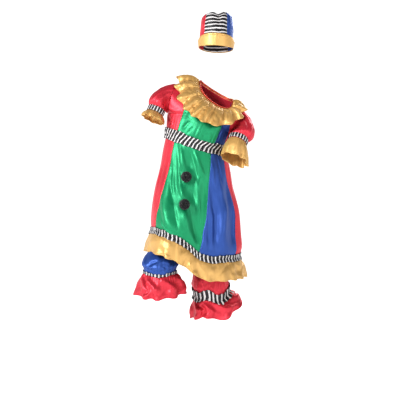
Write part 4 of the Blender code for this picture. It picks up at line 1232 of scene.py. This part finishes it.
def power_setting(name, description, default):
    """A light's power in watts that the panel shows."""
    return FloatProperty(name=name, description=description, default=default, unit="POWER")


def share_setting(name, description, default, low=0, high=1):
    """A plain number between two limits that the panel shows."""
    return FloatProperty(name=name, description=description, default=default, min=low, max=high)


class CostumeLook(bpy.types.PropertyGroup):
    """Colours and finish of the costume."""

    green: colour_setting("Green", "Green satin", (0.003, 0.272, 0.112))
    blue: colour_setting("Blue", "Blue satin", (0.022, 0.076, 0.310))
    red: colour_setting("Red", "Red satin", (0.620, 0.032, 0.056))
    gold: colour_setting("Gold", "Gold satin", (0.640, 0.385, 0.130))
    piping: colour_setting("Piping", "Neck binding", (0.520, 0.055, 0.025))
    white: colour_setting("White", "Light stripes", (0.70, 0.68, 0.68))
    black: colour_setting("Black", "Dark stripes", (0.012, 0.011, 0.013))
    satin_roughness: share_setting("Satin roughness", "Gloss of the satin", 0.43)
    satin_lustre: share_setting("Satin lustre", "Coloured lustre", 0.45)


class CostumeSizes(bpy.types.PropertyGroup):
    """Sizes of the costume's finer form."""

    thickness: length_setting("Cloth", "Thickness of the satin", 0.0009)
    crease: share_setting("Creases", "Strength of the finer creases", 1.0, high=2)
    gather: share_setting("Gathers", "Strength of the small gathers", 1.0, high=2)
    chest_stripe: length_setting("Chest stripes", "Repeat", 0.0215)
    hem_stripe: length_setting("Hem stripes", "Repeat", 0.0210)
    hat_stripe: length_setting("Hat stripes", "Repeat", 0.0180)
    fineness: share_setting("Fineness", "Share of the full grids", 0.9, low=0.2, high=2)
    strands: IntProperty(name="Pompom strands", description="Strands in each pompom", default=1500, min=100)


class StudioSetting(bpy.types.PropertyGroup):
    """Floor, lights and camera."""

    floor: length_setting("Floor", "Height of the floor", FLOOR_HEIGHT)
    key_light: power_setting("Key light", "Power of the soft key", 178.0)
    fill_light: power_setting("Fill light", "Power of the fill", 26.0)
    back_light: power_setting("Back light", "Power of the light behind", 90.0)
    sky: share_setting("Sky", "Strength of the sky over its bright horizon", 0.12)
    lens: share_setting("Lens", "Focal length in millimetres", CAMERA_LENS, low=10, high=300)


def cloths():
    """The shared materials of this run."""
    if not hasattr(cloths, "kept"):
        cloths.kept = Cloths(bpy.context.scene.costume_look)
    return cloths.kept


def count(full):
    """A number of rows or columns at the chosen fineness."""
    return max(4, int(round(full * bpy.context.scene.costume_sizes.fineness)))


def fine_ring(piece, low, high, start=-180.0):
    """The grid of a piece that goes all the way round: its angles and shares."""
    columns, rows = RING_GRIDS[piece]
    return ring_grid(count(columns), count(rows), low, high, start)


def fine_panels(seams, grid, low, high):
    """The grid of panels side by side: angles, shares and the columns where each panel starts."""
    columns, rows = grid
    return panel_grid(seams, [count(n) for n in columns], count(rows), low, high)


def gathered(place, angle, kind=0.0):
    """The small gathers of one place, as a height round its ring."""
    depth, number, own_kind = GATHERS[place]
    strength = bpy.context.scene.costume_sizes.gather
    return depth * strength * gathers(angle, number, own_kind + kind)


def dented(cloth, form):
    """The soft dents of one cloth, as a height over its form."""
    depth, size, seed = DENTS[cloth]
    return depth * crumple(form, size, seed)


def put_piece(
    node, points, closed, material, edges="bottom top", flip=False, thick=None, laid=None
):
    """Makes one cloth piece and fastens it in place of its node."""
    thickness = thick or bpy.context.scene.costume_sizes.thickness
    piece = cloth_piece(node + "_cloth", points, closed, material, thickness, edges, flip, laid)
    flat, area = cut_of(points, closed)
    dressed(piece, node)


def seam_relief(angle, along, columns):
    """A sewn groove along each seam of the skirt, with small puckers beside it."""
    total = np.zeros(angle.shape)
    for column in columns:
        off = np.radians(angle - angle[:, column : column + 1]) * SKIRT_REACH[0]
        groove = np.exp(-((off / 0.0028) ** 2))
        pucker = np.exp(-((off / 0.010) ** 2)) * np.sin(along * 260 + 2 * np.sin(along * 31))
        total = total - 0.0010 * groove + 0.0005 * pucker
    return total


class COSTUME_OT_skirt(bpy.types.Operator):
    """Make the five skirt panels between the empire seam and the hem"""

    bl_idname = "costume.skirt"
    bl_label = "Skirt Panels"

    def execute(self, context):
        looks = {
            "skirt_side_right": "red",
            "skirt_green": "green",
            "skirt_blue": "blue",
            "skirt_side_left": "red",
            "skirt_back": "red",
        }
        seams = [*seam_lines(SKIRT_SEAMS, -90, 90), straight_seam(270)]
        angle, along, edges = fine_panels(seams, SKIRT_GRID, 0.9985, 0.001)
        free = away_from_pompoms(angle, along, 8, 0.06)
        relief = creases(SKIRT_CREASES, angle, along, *SKIRT_REACH)
        relief = relief * context.scene.costume_sizes.crease * free
        fade_down = 0.040 + 0.014 * gathers(angle, 11, 1.0)
        fade_up = 0.034 + 0.012 * gathers(angle, 9, 2.0)
        under_band = ease((along - 0.03) / 0.04) * np.exp(-along / fade_down)
        over_hem = ease((0.965 - along) / 0.04) * np.exp(-(1 - along) / fade_up)
        relief = relief + under_band * gathered("skirt_top", angle)
        relief = relief + over_hem * gathered("skirt_hem", angle)
        relief = relief + seam_relief(angle, along, edges[:-1])
        form = skirt_form(angle[:, :-1], along[:, :-1])
        dents = dented("skirt", form * (1.0, 1.0, 0.7)) * (free * ease((0.99 - along) / 0.05))[:, :-1]
        ring = joined(raised(form, relief[:, :-1] + dents, True))
        for (node, colour), start, end in zip(looks.items(), edges[:-1], edges[1:]):
            points = ring[:, start : end + 1]
            put_piece(node, points, False, cloths().satin(colour), "sides")
        return {"FINISHED"}


class COSTUME_OT_bodice(bpy.types.Operator):
    """Make the four front pieces of the bodice and its back"""

    bl_idname = "costume.bodice"
    bl_label = "Bodice"

    def execute(self, context):
        sizes = context.scene.costume_sizes
        colours = {"bodice_green": "green", "bodice_blue": "blue"}
        front = ("bodice_side_right", "bodice_green", "bodice_blue", "bodice_side_left")
        halves = (
            (seam_lines(BODICE_SEAMS, -89.9, 89.9), BODICE_FRONT_GRID, front),
            ([straight_seam(90.1), straight_seam(269.9)], BODICE_BACK_GRID, ("bodice_back",)),
        )
        for seams, grid, nodes in halves:
            angle, along, edges = fine_panels(seams, grid, 0.0015, 0.996)
            relief = creases(BODICE_CREASES, angle, along, *BODICE_REACH) * sizes.crease
            fade = 0.17 + 0.05 * gathers(angle, 9, 3.0)
            over_band = ease((along - 0.10) / 0.06) * np.exp(-along / fade)
            relief = relief + over_band * gathered("bodice", angle)
            form = bodice_form(angle, along)
            relief = (relief + dented("bodice", form)) * ease((0.99 - along) / 0.05)
            points = raised(form, relief, False)
            for node, start, end in zip(nodes, edges[:-1], edges[1:]):
                material = cloths().satin(colours.get(node, "red"))
                panel = points[:, start : end + 1]
                put_piece(node, panel, False, material, "sides top")
        return {"FINISHED"}


def band_points(piece, surface, half, off, pleats, kind):
    """A ruched band: the cloth under it moved out, swollen in its middle, and pleated across."""
    angle, share = fine_ring(piece, -1.0, 1.0)
    points = surface(angle, share * half)
    height = off + BAND_SWELL * (1 - share**2) + BAND_PLEAT * gathers(angle, pleats, kind)
    height = height + BAND_EDGE_PLEAT * share * gathers(angle, pleats * 0.5, kind + 1.0)
    rise = 0.0010 * share * gathers(angle, pleats * 0.7, kind + 2.0)
    rise = rise + BAND_EDGE_WAVE * gathers(angle, pleats * 0.22, kind)
    return raised(points, height, True, rise=rise)


class COSTUME_OT_chest_band(bpy.types.Operator):
    """Make the striped ruched band over the empire seam"""

    bl_idname = "costume.chest_band"
    bl_label = "Chest Band"

    def execute(self, context):
        def surface(angle, along):
            reach = np.abs(along)
            up = bodice_form(angle, np.where(along > 0, reach, 0.0) / BODICE_LENGTH)
            down = skirt_form(angle, np.where(along < 0, reach, 0.0) / SKIRT_LENGTH)
            return np.where((along > 0)[..., None], up, down)

        angle, _ = fine_ring("chest_band", -1.0, 1.0)
        bulge = np.exp(-(((angle - BULGE_ANGLE) / BULGE_SPREAD) ** 2))
        off = CHEST_BAND_OFF + CHEST_BAND_BULGE * bulge
        points = band_points("chest_band", surface, CHEST_BAND_HALF, off, CHEST_BAND_PLEATS, 0.3)
        stripes = cloths().striped(context.scene.costume_sizes.chest_stripe, CHEST_BAND_SLANT)
        put_piece("chest_band", points, True, stripes)
        return {"FINISHED"}


class COSTUME_OT_hem(bpy.types.Operator):
    """Make the striped band over the hem seam and the gold ruffle under it"""

    bl_idname = "costume.hem"
    bl_label = "Hem Band and Ruffle"

    def execute(self, context):
        def surface(angle, along):
            high = skirt_form(angle, 1 - np.clip(along, 0, 1) * HEM_BAND_UP)
            low = hem_ruffle_form(angle, np.clip(-along, 0, 1) * HEM_BAND_DOWN)
            return np.where((along > 0)[..., None], high, low)

        points = band_points("hem_band", surface, 1.0, BAND_OFF, HEM_BAND_PLEATS, 1.3)
        stripes = cloths().striped(context.scene.costume_sizes.hem_stripe, BAND_SLANT)
        put_piece("hem_band", points, True, stripes)
        angle, along = fine_ring("hem_ruffle", 0.997, 0.0)
        relief = gathered("hem_root", angle) * np.exp(-along / 0.22) * ease(along / 0.12)
        relief = relief + gathered("hem_body", angle + 4 * np.sin(4 * along)) * along
        form = hem_ruffle_form(angle, along)
        relief = relief + dented("hem_ruffle", form) * ease(along / 0.3)
        fold = 0.003 * along * np.sin(2 * uneven(angle, HEM_WAVES))
        points = raised(form, relief, True, aside=fold)
        put_piece("hem_ruffle", points, True, cloths().satin("gold"), "bottom")
        return {"FINISHED"}


class COSTUME_OT_collar(bpy.types.Operator):
    """Make the wide gathered collar and the thin binding round the neck"""

    bl_idname = "costume.collar"
    bl_label = "Collar and Neck Binding"

    def execute(self, context):
        angle, along = fine_ring("collar", 1.0, 0.0)
        relief = gathered("collar_root", angle) * np.exp(-along / 0.30) * ease(along / 0.08)
        relief = relief + gathered("collar_body", angle) * np.sin(np.pi * np.clip(along * 1.1, 0, 1))
        form = collar_form(angle, along)
        relief = relief + dented("collar", form) * ease(along / 0.25)
        fold = 0.004 * along * np.sin(2 * uneven(angle, COLLAR_WAVES))
        points = raised(form, relief, True, aside=fold)
        put_piece("collar", points, True, cloths().satin("gold"), "bottom")
        turn, around = fine_ring("neck_binding", -65.0, 245.0)
        ring = neck_ring(turn)
        tangent = unit(neck_ring(turn + 0.5) - neck_ring(turn - 0.5))
        outward = unit(ring - (NECK_R + NECK_L) / 2)
        outward = unit(outward - (outward * tangent).sum(-1, keepdims=True) * tangent)
        up = np.cross(outward, tangent)
        spin = np.radians(around)[..., None]
        radius = (BINDING_RADIUS + 0.00025 * np.cos(np.radians(turn) * 96))[..., None]
        section = np.cos(spin) * outward + BINDING_TALL * np.sin(spin) * up
        points = ring + BINDING_LIFT * up + radius * section
        put_piece("neck_binding", points, True, cloths().satin("piping", 1.0))
        return {"FINISHED"}


class COSTUME_OT_sleeves(bpy.types.Operator):
    """Make both puff sleeves with their striped bands and gold ruffles"""

    bl_idname = "costume.sleeves"
    bl_label = "Sleeves"

    def execute(self, context):
        stripes = cloths().striped(context.scene.costume_sizes.hem_stripe * 0.8, BAND_SLANT)
        for side, kind, sign in (("right", 1.9, 1), ("left", 0.6, -1)):
            self.puff(side, kind, sign)
            self.band(side, kind, sign, stripes)
            self.ruffle(side, kind, sign)
        return {"FINISHED"}

    def puff(self, side, kind, sign):
        """The sleeve from the armhole to its cuff, gathered at both."""
        angle, along = fine_ring("sleeve", 1 + CUFF_SHARE, 0.0, 0.0)
        share = (1 - np.cos(np.radians(angle))) / 2
        middle = share * np.sin(np.pi * np.clip(along, 0, 1))
        near_cuff = np.exp(-np.clip(1 - along, 0, 1) / 0.28) * ease((1 - along) / 0.08)
        near_top = np.exp(-along / 0.22) * ease(along / 0.06)
        relief = share * near_cuff * gathered("sleeve_cuff", angle, kind)
        relief = relief + share * near_top * gathered("sleeve_top", angle, kind)
        form = sleeve_form(side, angle, along)
        relief = relief + middle * (gathered("sleeve_body", angle, kind) + dented("sleeve", form))
        points = raised(form, sign * relief, True)
        material = cloths().satin("red")
        put_piece(f"sleeve_{side}", points, True, material, "bottom", sign < 0)

    def band(self, side, kind, sign, stripes):
        """The striped band over the cuff."""
        turn, level = fine_ring("sleeve_band", -1.0, 1.0, 0.0)
        cuff = sleeve_form(side, turn, 1 + CUFF_SHARE * (0.53 - 0.47 * level))
        off = 0.0030 + 0.0010 * (1 - level**2) + gathered("sleeve_band", turn, kind)
        points = cuff + off[..., None] * across_arm(side, turn)
        put_piece(f"sleeve_band_{side}", points, True, stripes, flip=sign < 0)

    def ruffle(self, side, kind, sign):
        """The gold ruffle under the band."""
        angle, along = fine_ring("sleeve_ruffle", 1.0, 0.014, 0.0)
        relief = gathered("sleeve_ruffle", angle, kind) * np.exp(-along / 0.35) * ease(along / 0.1)
        form = sleeve_ruffle_form(side, angle, along)
        relief = relief + dented("sleeve_ruffle", form) * along
        fold = 0.003 * along * np.sin(2 * uneven(angle, SLEEVE_WAVES, 0.4))
        points = raised(form, sign * relief, True, aside=fold)
        node, band = f"sleeve_ruffle_{side}", f"sleeve_band_{side}"
        put_piece(node, points, True, cloths().satin("gold"), "bottom", sign < 0)


class COSTUME_OT_bloomers(bpy.types.Operator):
    """Make both halves of the bloomers with their leg bands and red ruffles"""

    bl_idname = "costume.bloomers"
    bl_label = "Bloomers"

    def execute(self, context):
        sizes = context.scene.costume_sizes
        for side, colour, kind, sign in (("right", "blue", 1.1, 1), ("left", "red", 0.4, -1)):
            self.leg(side, colour, kind, sign, sizes.crease)
            self.band(side, kind, sizes.hem_stripe)
            self.ruffle(side, kind)
        return {"FINISHED"}

    def leg(self, side, colour, kind, sign, crease):
        """Half of the bloomers, cut as a front and a back that meet at the inseam and the side."""
        half, low_rows, high_rows = BLOOMERS_GRID
        low, high = np.linspace(1.0, 0.5, count(low_rows)), np.linspace(0.49, -1.0, count(high_rows))
        rows = np.concatenate([low, high])
        angle = np.linspace(0.05, 359.95, 2 * count(half) + 1)[None, :] * np.ones((len(rows), 1))
        along = rows[:, None] * np.ones(angle.shape[1])
        near_band = np.exp(-np.clip(0.94 - along, 0, 1) / 0.10) * ease((0.955 - along) / 0.03)
        relief = creases(LEG_CREASES[side], angle, along, *LEG_REACH) * crease
        relief = relief + near_band * gathered("leg", angle, kind)
        form = bloomer_form(side, angle, along)
        relief = relief + dented("bloomers", form) * ease((0.95 - along) / 0.05)
        points = raised(form, -sign * relief * ease((along - 0.3) / 0.2), False)
        material = cloths().satin(colour)
        middle = points.shape[1] // 2
        for part, share in (("front", points[:, : middle + 1]), ("back", points[:, middle:])):
            put_piece(f"bloomers_{part}_{side}", share, False, material, "sides", sign > 0)

    def band(self, side, kind, stripe):
        """The striped band over the leg's seam, frilled at both edges."""
        turn, level = fine_ring("leg_band", -1.0, 1.0)
        above = 1 - np.clip(level, 0, 1) * LEG_BAND_UP[side]
        high = bloomer_form(side, leg_angle(side, turn), above)
        low = leg_ruffle_form(side, turn, np.clip(-level, 0, 1) * LEG_BAND_DOWN[side])
        points = np.where((level > 0)[..., None], high, low)
        frill = LEG_BAND_FRILL[side] * level**2 * (0.6 + gathers(turn, LEG_BAND_PLEATS, kind))
        off = BAND_OFF + 0.0006 + frill + gathered("leg_band", turn, kind)
        wavy = LEG_BAND_WAVE * level * gathers(turn, 13, kind + 1) + gathered("leg_band_edge", turn, kind)
        out = np.radians(turn)
        points = points + stack(off * np.sin(out), -off * np.cos(out), wavy)
        stripes = cloths().striped(stripe * LEG_BAND_STRIPE[side], share=LEG_BAND_LIGHT)
        put_piece(f"leg_band_{side}", points, True, stripes)

    def ruffle(self, side, kind):
        """The red ruffle under the band, with folds that wind as they fall."""
        angle, along = fine_ring("leg_ruffle", 1.0, LEG_RUFFLE_ROOT[side])
        winding = angle + 13 * np.sin(2 * np.pi * along + kind)
        relief = gathered("leg_ruffle", angle, kind) * np.exp(-along / 0.25) * ease(along / 0.1)
        swell = np.sin(np.pi * np.clip(along, 0, 1)) ** 0.7
        relief = relief + 0.0060 * np.cos(uneven(winding + 20 * kind, 8, 0.8)) * swell
        form = leg_ruffle_form(side, angle, along)
        relief = relief + dented("leg_ruffle", form) * along
        fold = 0.005 * along * np.sin(2 * uneven(angle, LEG_WAVES, 0.5))
        points = raised(form, relief, True, aside=fold)
        red, band = cloths().satin("red"), f"leg_band_{side}"
        put_piece(f"leg_ruffle_{side}", points, True, red, "bottom")


class COSTUME_OT_pompoms(bpy.types.Operator):
    """Make the two black pompoms of loose yarn"""

    bl_idname = "costume.pompoms"
    bl_label = "Pompoms"

    def execute(self, context):
        strands = context.scene.costume_sizes.strands
        yarn = cloths().yarn()
        for number, (node, (angle, along)) in enumerate(POMPOMS.items()):
            aside, down = np.array([-0.5, 0.0, 0.5, 0.0]), np.array([0.0, 0.0, 0.0, 0.01])
            left, spot, right, below = skirt_form(angle + aside, along + down)
            facing = unit(np.cross(right - left, spot - below))
            centre = spot + facing * (POMPOM_BACK + 0.001)
            random = np.random.default_rng(7 + number)
            step = np.arange(strands) + 0.5
            tilt, turn = np.arccos(1 - 2 * step / strands), np.pi * (1 + 5**0.5) * step
            out = stack(np.sin(tilt) * np.cos(turn), np.sin(tilt) * np.sin(turn), np.cos(tilt))
            out = unit(out + random.normal(0, 0.10, out.shape))
            reach = POMPOM_RADIUS * random.uniform(0.90, 1.05, strands)
            back = -(out @ facing)
            limit = np.where(back > 0.05, POMPOM_BACK / np.clip(back, 0.05, 1), 1.0)
            reach = np.minimum(reach, np.clip(limit, POMPOM_CORE, 1.0))
            piece = strand_ball(node + "_yarn", centre, out, reach, random, yarn)
            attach(piece, "root")
            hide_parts(node)
        return {"FINISHED"}


def strand_ball(name, centre, out, reach, random, material):
    """Short bent strands from a small core, each a tapering prism of three sides and four rings."""
    strands, sides = len(out), 3
    spread = unit(np.cross(out, random.normal(0, 1, out.shape)))
    other = np.cross(out, spread)
    levels = np.array((0.15, 0.55, 0.85, 1.0))
    widths = np.array((0.0011, 0.0013, 0.0011, 0.0004))
    bend = 0.0022 * random.uniform(-1, 1, (strands, 2))
    rings = []
    for level, width in zip(levels, widths):
        middle = centre + out * (reach * level)[:, None]
        middle = middle + (spread * bend[:, :1] + other * bend[:, 1:]) * level**2
        turn = np.arange(sides) * 2 * np.pi / sides
        ring = middle[:, None] + width * (
            np.cos(turn)[None, :, None] * spread[:, None] + np.sin(turn)[None, :, None] * other[:, None]
        )
        rings.append(ring)
    points = np.stack(rings, 1)
    per = len(levels) * sides
    first = (np.arange(strands) * per)[:, None, None]
    level, side = np.meshgrid(np.arange(len(levels) - 1), np.arange(sides), indexing="ij")
    after = (side + 1) % sides
    low, high = level * sides, (level + 1) * sides
    one_wall = np.stack([low + side, low + after, high + after, high + side], -1).reshape(-1, 4)
    walls = (first + one_wall[None]).reshape(-1, 4)
    roots = (first[:, 0] + np.array((2, 1, 0))[None]).tolist()
    tips = (first[:, 0] + per - sides + np.arange(sides)[None]).tolist()
    mesh = bpy.data.meshes.new(name)
    mesh.from_pydata(points.reshape(-1, 3), [], walls.tolist() + roots + tips)
    mesh.shade_smooth()
    mesh.materials.append(material)
    piece = bpy.data.objects.new(name, mesh)
    bpy.context.scene.collection.objects.link(piece)
    return piece


class COSTUME_OT_hat(bpy.types.Operator):
    """Make the hat's four crown panels, its tip and its turned-up brim"""

    bl_idname = "costume.hat"
    bl_label = "Hat"

    def execute(self, context):
        sizes = context.scene.costume_sizes
        starts = list(HAT_SEAMS.values())
        seams = [straight_seam(start) for start in [*starts, starts[0] + 360]]
        angle, along, edges = fine_panels(seams, HAT_GRID, 0.0, 0.991)
        relief = gathered("hat_side", angle) * along + gathered("hat_edge", angle) * along**2
        relief = relief + 0.0010 * np.sin(along * 17 + np.radians(angle) * 3) * along
        relief = relief * ease((0.99 - along) / 0.06)
        ring = joined(raised(hat_form(angle[:, :-1], along[:, :-1]), relief[:, :-1], True))
        stripes = cloths().striped(sizes.hat_stripe, along=1.0)
        looks = {
            "hat_front": stripes,
            "hat_side_left": cloths().satin("blue"),
            "hat_back": stripes,
            "hat_side_right": cloths().satin("red"),
        }
        for (node, material), start, end in zip(looks.items(), edges[:-1], edges[1:]):
            put_piece(node, ring[:, start : end + 1], False, material, "sides")
        angle, along = fine_ring("hat_brim", 0.0, 1.0)
        points = raised(hat_brim_form(angle, along), gathered("hat_brim", angle) * along, True)
        gold = cloths().satin("gold")
        put_piece("hat_brim", points, True, gold, "top", thick=BRIM_THICKNESS)
        angle, along = fine_ring("hat_top", 0.992, 0.02)
        relief = gathered("hat_top", angle) * np.sin(np.pi * along)
        points = raised(hat_top_form(angle, along), relief, True)
        laid = joined(points)[..., 0], joined(points)[..., 1]
        put_piece("hat_top", points, True, stripes, laid=laid)
        return {"FINISHED"}


class COSTUME_OT_studio(bpy.types.Operator):
    """Make the pale floor, the soft lights and the camera"""

    bl_idname = "costume.studio"
    bl_label = "Studio"

    def execute(self, context):
        setting = context.scene.costume_studio
        mesh = bpy.data.meshes.new("floor")
        corners = [(FLOOR_HALF * x, FLOOR_HALF * y, 0) for x, y in ((-1, -1), (1, -1), (1, 1), (-1, 1))]
        mesh.from_pydata(corners, [], [(0, 1, 2, 3)])
        floor = bpy.data.objects.new("floor", mesh)
        floor.location.z = setting.floor
        material = bpy.data.materials.new("pale_floor")
        material.use_nodes = True
        tree = material.node_tree
        shader = tree.nodes["Principled BSDF"]
        shader.inputs["Base Color"].default_value = (0.90, 0.90, 0.90, 1.0)
        shader.inputs["Roughness"].default_value = 0.9
        shader.inputs["Emission Color"].default_value = (1.0, 1.0, 1.0, 1.0)
        reach = tree.nodes.new("ShaderNodeVectorMath")
        reach.operation = "LENGTH"
        tree.links.new(tree.nodes.new("ShaderNodeTexCoord").outputs["Object"], reach.inputs[0])
        far = placed_node(tree, "ShaderNodeMapRange", Value=reach.outputs["Value"], **FLOOR_GLOW)
        tree.links.new(far.outputs[0], shader.inputs["Emission Strength"])
        mesh.materials.append(material)
        context.scene.collection.objects.link(floor)
        world = bpy.data.worlds.new("sky")
        world.use_nodes = True
        tree = world.node_tree
        sky = tree.nodes["Background"]
        sky.inputs["Color"].default_value = (1.0, 1.0, 1.0, 1.0)
        split = tree.nodes.new("ShaderNodeSeparateXYZ")
        tree.links.new(tree.nodes.new("ShaderNodeTexCoord").outputs["Generated"], split.inputs[0])
        tilt = math_node(tree, "ABSOLUTE", split.outputs["Z"])
        ring = placed_node(tree, "ShaderNodeMapRange", Value=tilt, To_Max=setting.sky, **HORIZON_FADE)
        tree.links.new(ring.outputs[0], sky.inputs["Strength"])
        context.scene.world = world
        for name, (place, size) in LIGHTS.items():
            self.light(name, place, size, getattr(setting, name))
        camera = bpy.data.objects.new("camera", bpy.data.cameras.new("camera"))
        camera.location = CAMERA_PLACE
        camera.rotation_euler = (np.pi / 2, 0.0, 0.0)
        camera.data.lens = setting.lens
        context.scene.collection.objects.link(camera)
        context.scene.camera = camera
        context.scene.view_settings.view_transform = "Standard"
        context.scene.view_settings.look = "Medium High Contrast"
        return {"FINISHED"}

    def light(self, name, place, size, power):
        """A square soft light that faces the middle of the costume."""
        lamp = bpy.data.lights.new(name, "AREA")
        lamp.size = size
        lamp.energy = power
        made = bpy.data.objects.new(name, lamp)
        made.location = place
        aim = np.array(CAMERA_PLACE) * (1, 0, 1) - np.array(place)
        flat = np.hypot(aim[0], aim[1])
        made.rotation_euler = (np.arctan2(flat, -aim[2]), 0.0, np.arctan2(-aim[0], aim[1]))
        bpy.context.scene.collection.objects.link(made)


class COSTUME_PT_panel(bpy.types.Panel):
    """Lists the costume's sizes, colours and pieces"""

    bl_idname = "COSTUME_PT_panel"
    bl_label = "Clown Costume"
    bl_space_type = "VIEW_3D"
    bl_region_type = "UI"
    bl_category = "Costume"

    def draw(self, context):
        scene = context.scene
        for group in (scene.costume_look, scene.costume_sizes, scene.costume_studio):
            for name in group.__annotations__:
                self.layout.prop(group, name)
        for operator in OPERATORS:
            self.layout.operator(operator.bl_idname)


OPERATORS = (
    COSTUME_OT_skirt,
    COSTUME_OT_bodice,
    COSTUME_OT_chest_band,
    COSTUME_OT_hem,
    COSTUME_OT_collar,
    COSTUME_OT_sleeves,
    COSTUME_OT_bloomers,
    COSTUME_OT_pompoms,
    COSTUME_OT_hat,
    COSTUME_OT_studio,
)
CLASSES = (CostumeLook, CostumeSizes, StudioSetting, *OPERATORS, COSTUME_PT_panel)


def register():
    """Makes the classes and the scene's settings known to Blender."""
    for made in CLASSES:
        bpy.utils.register_class(made)
    bpy.types.Scene.costume_look = PointerProperty(type=CostumeLook)
    bpy.types.Scene.costume_sizes = PointerProperty(type=CostumeSizes)
    bpy.types.Scene.costume_studio = PointerProperty(type=StudioSetting)


def unregister():
    """Takes the classes and the settings out again."""
    del bpy.types.Scene.costume_studio
    del bpy.types.Scene.costume_sizes
    del bpy.types.Scene.costume_look
    for made in reversed(CLASSES):
        bpy.utils.unregister_class(made)


def main():
    """Makes every piece and the studio."""
    register()
    bpy.ops.costume.skirt()
    bpy.ops.costume.bodice()
    bpy.ops.costume.chest_band()
    bpy.ops.costume.hem()
    bpy.ops.costume.collar()
    bpy.ops.costume.sleeves()
    bpy.ops.costume.bloomers()
    bpy.ops.costume.pompoms()
    bpy.ops.costume.hat()
    bpy.ops.costume.studio()


if __name__ == "__main__":
    main()
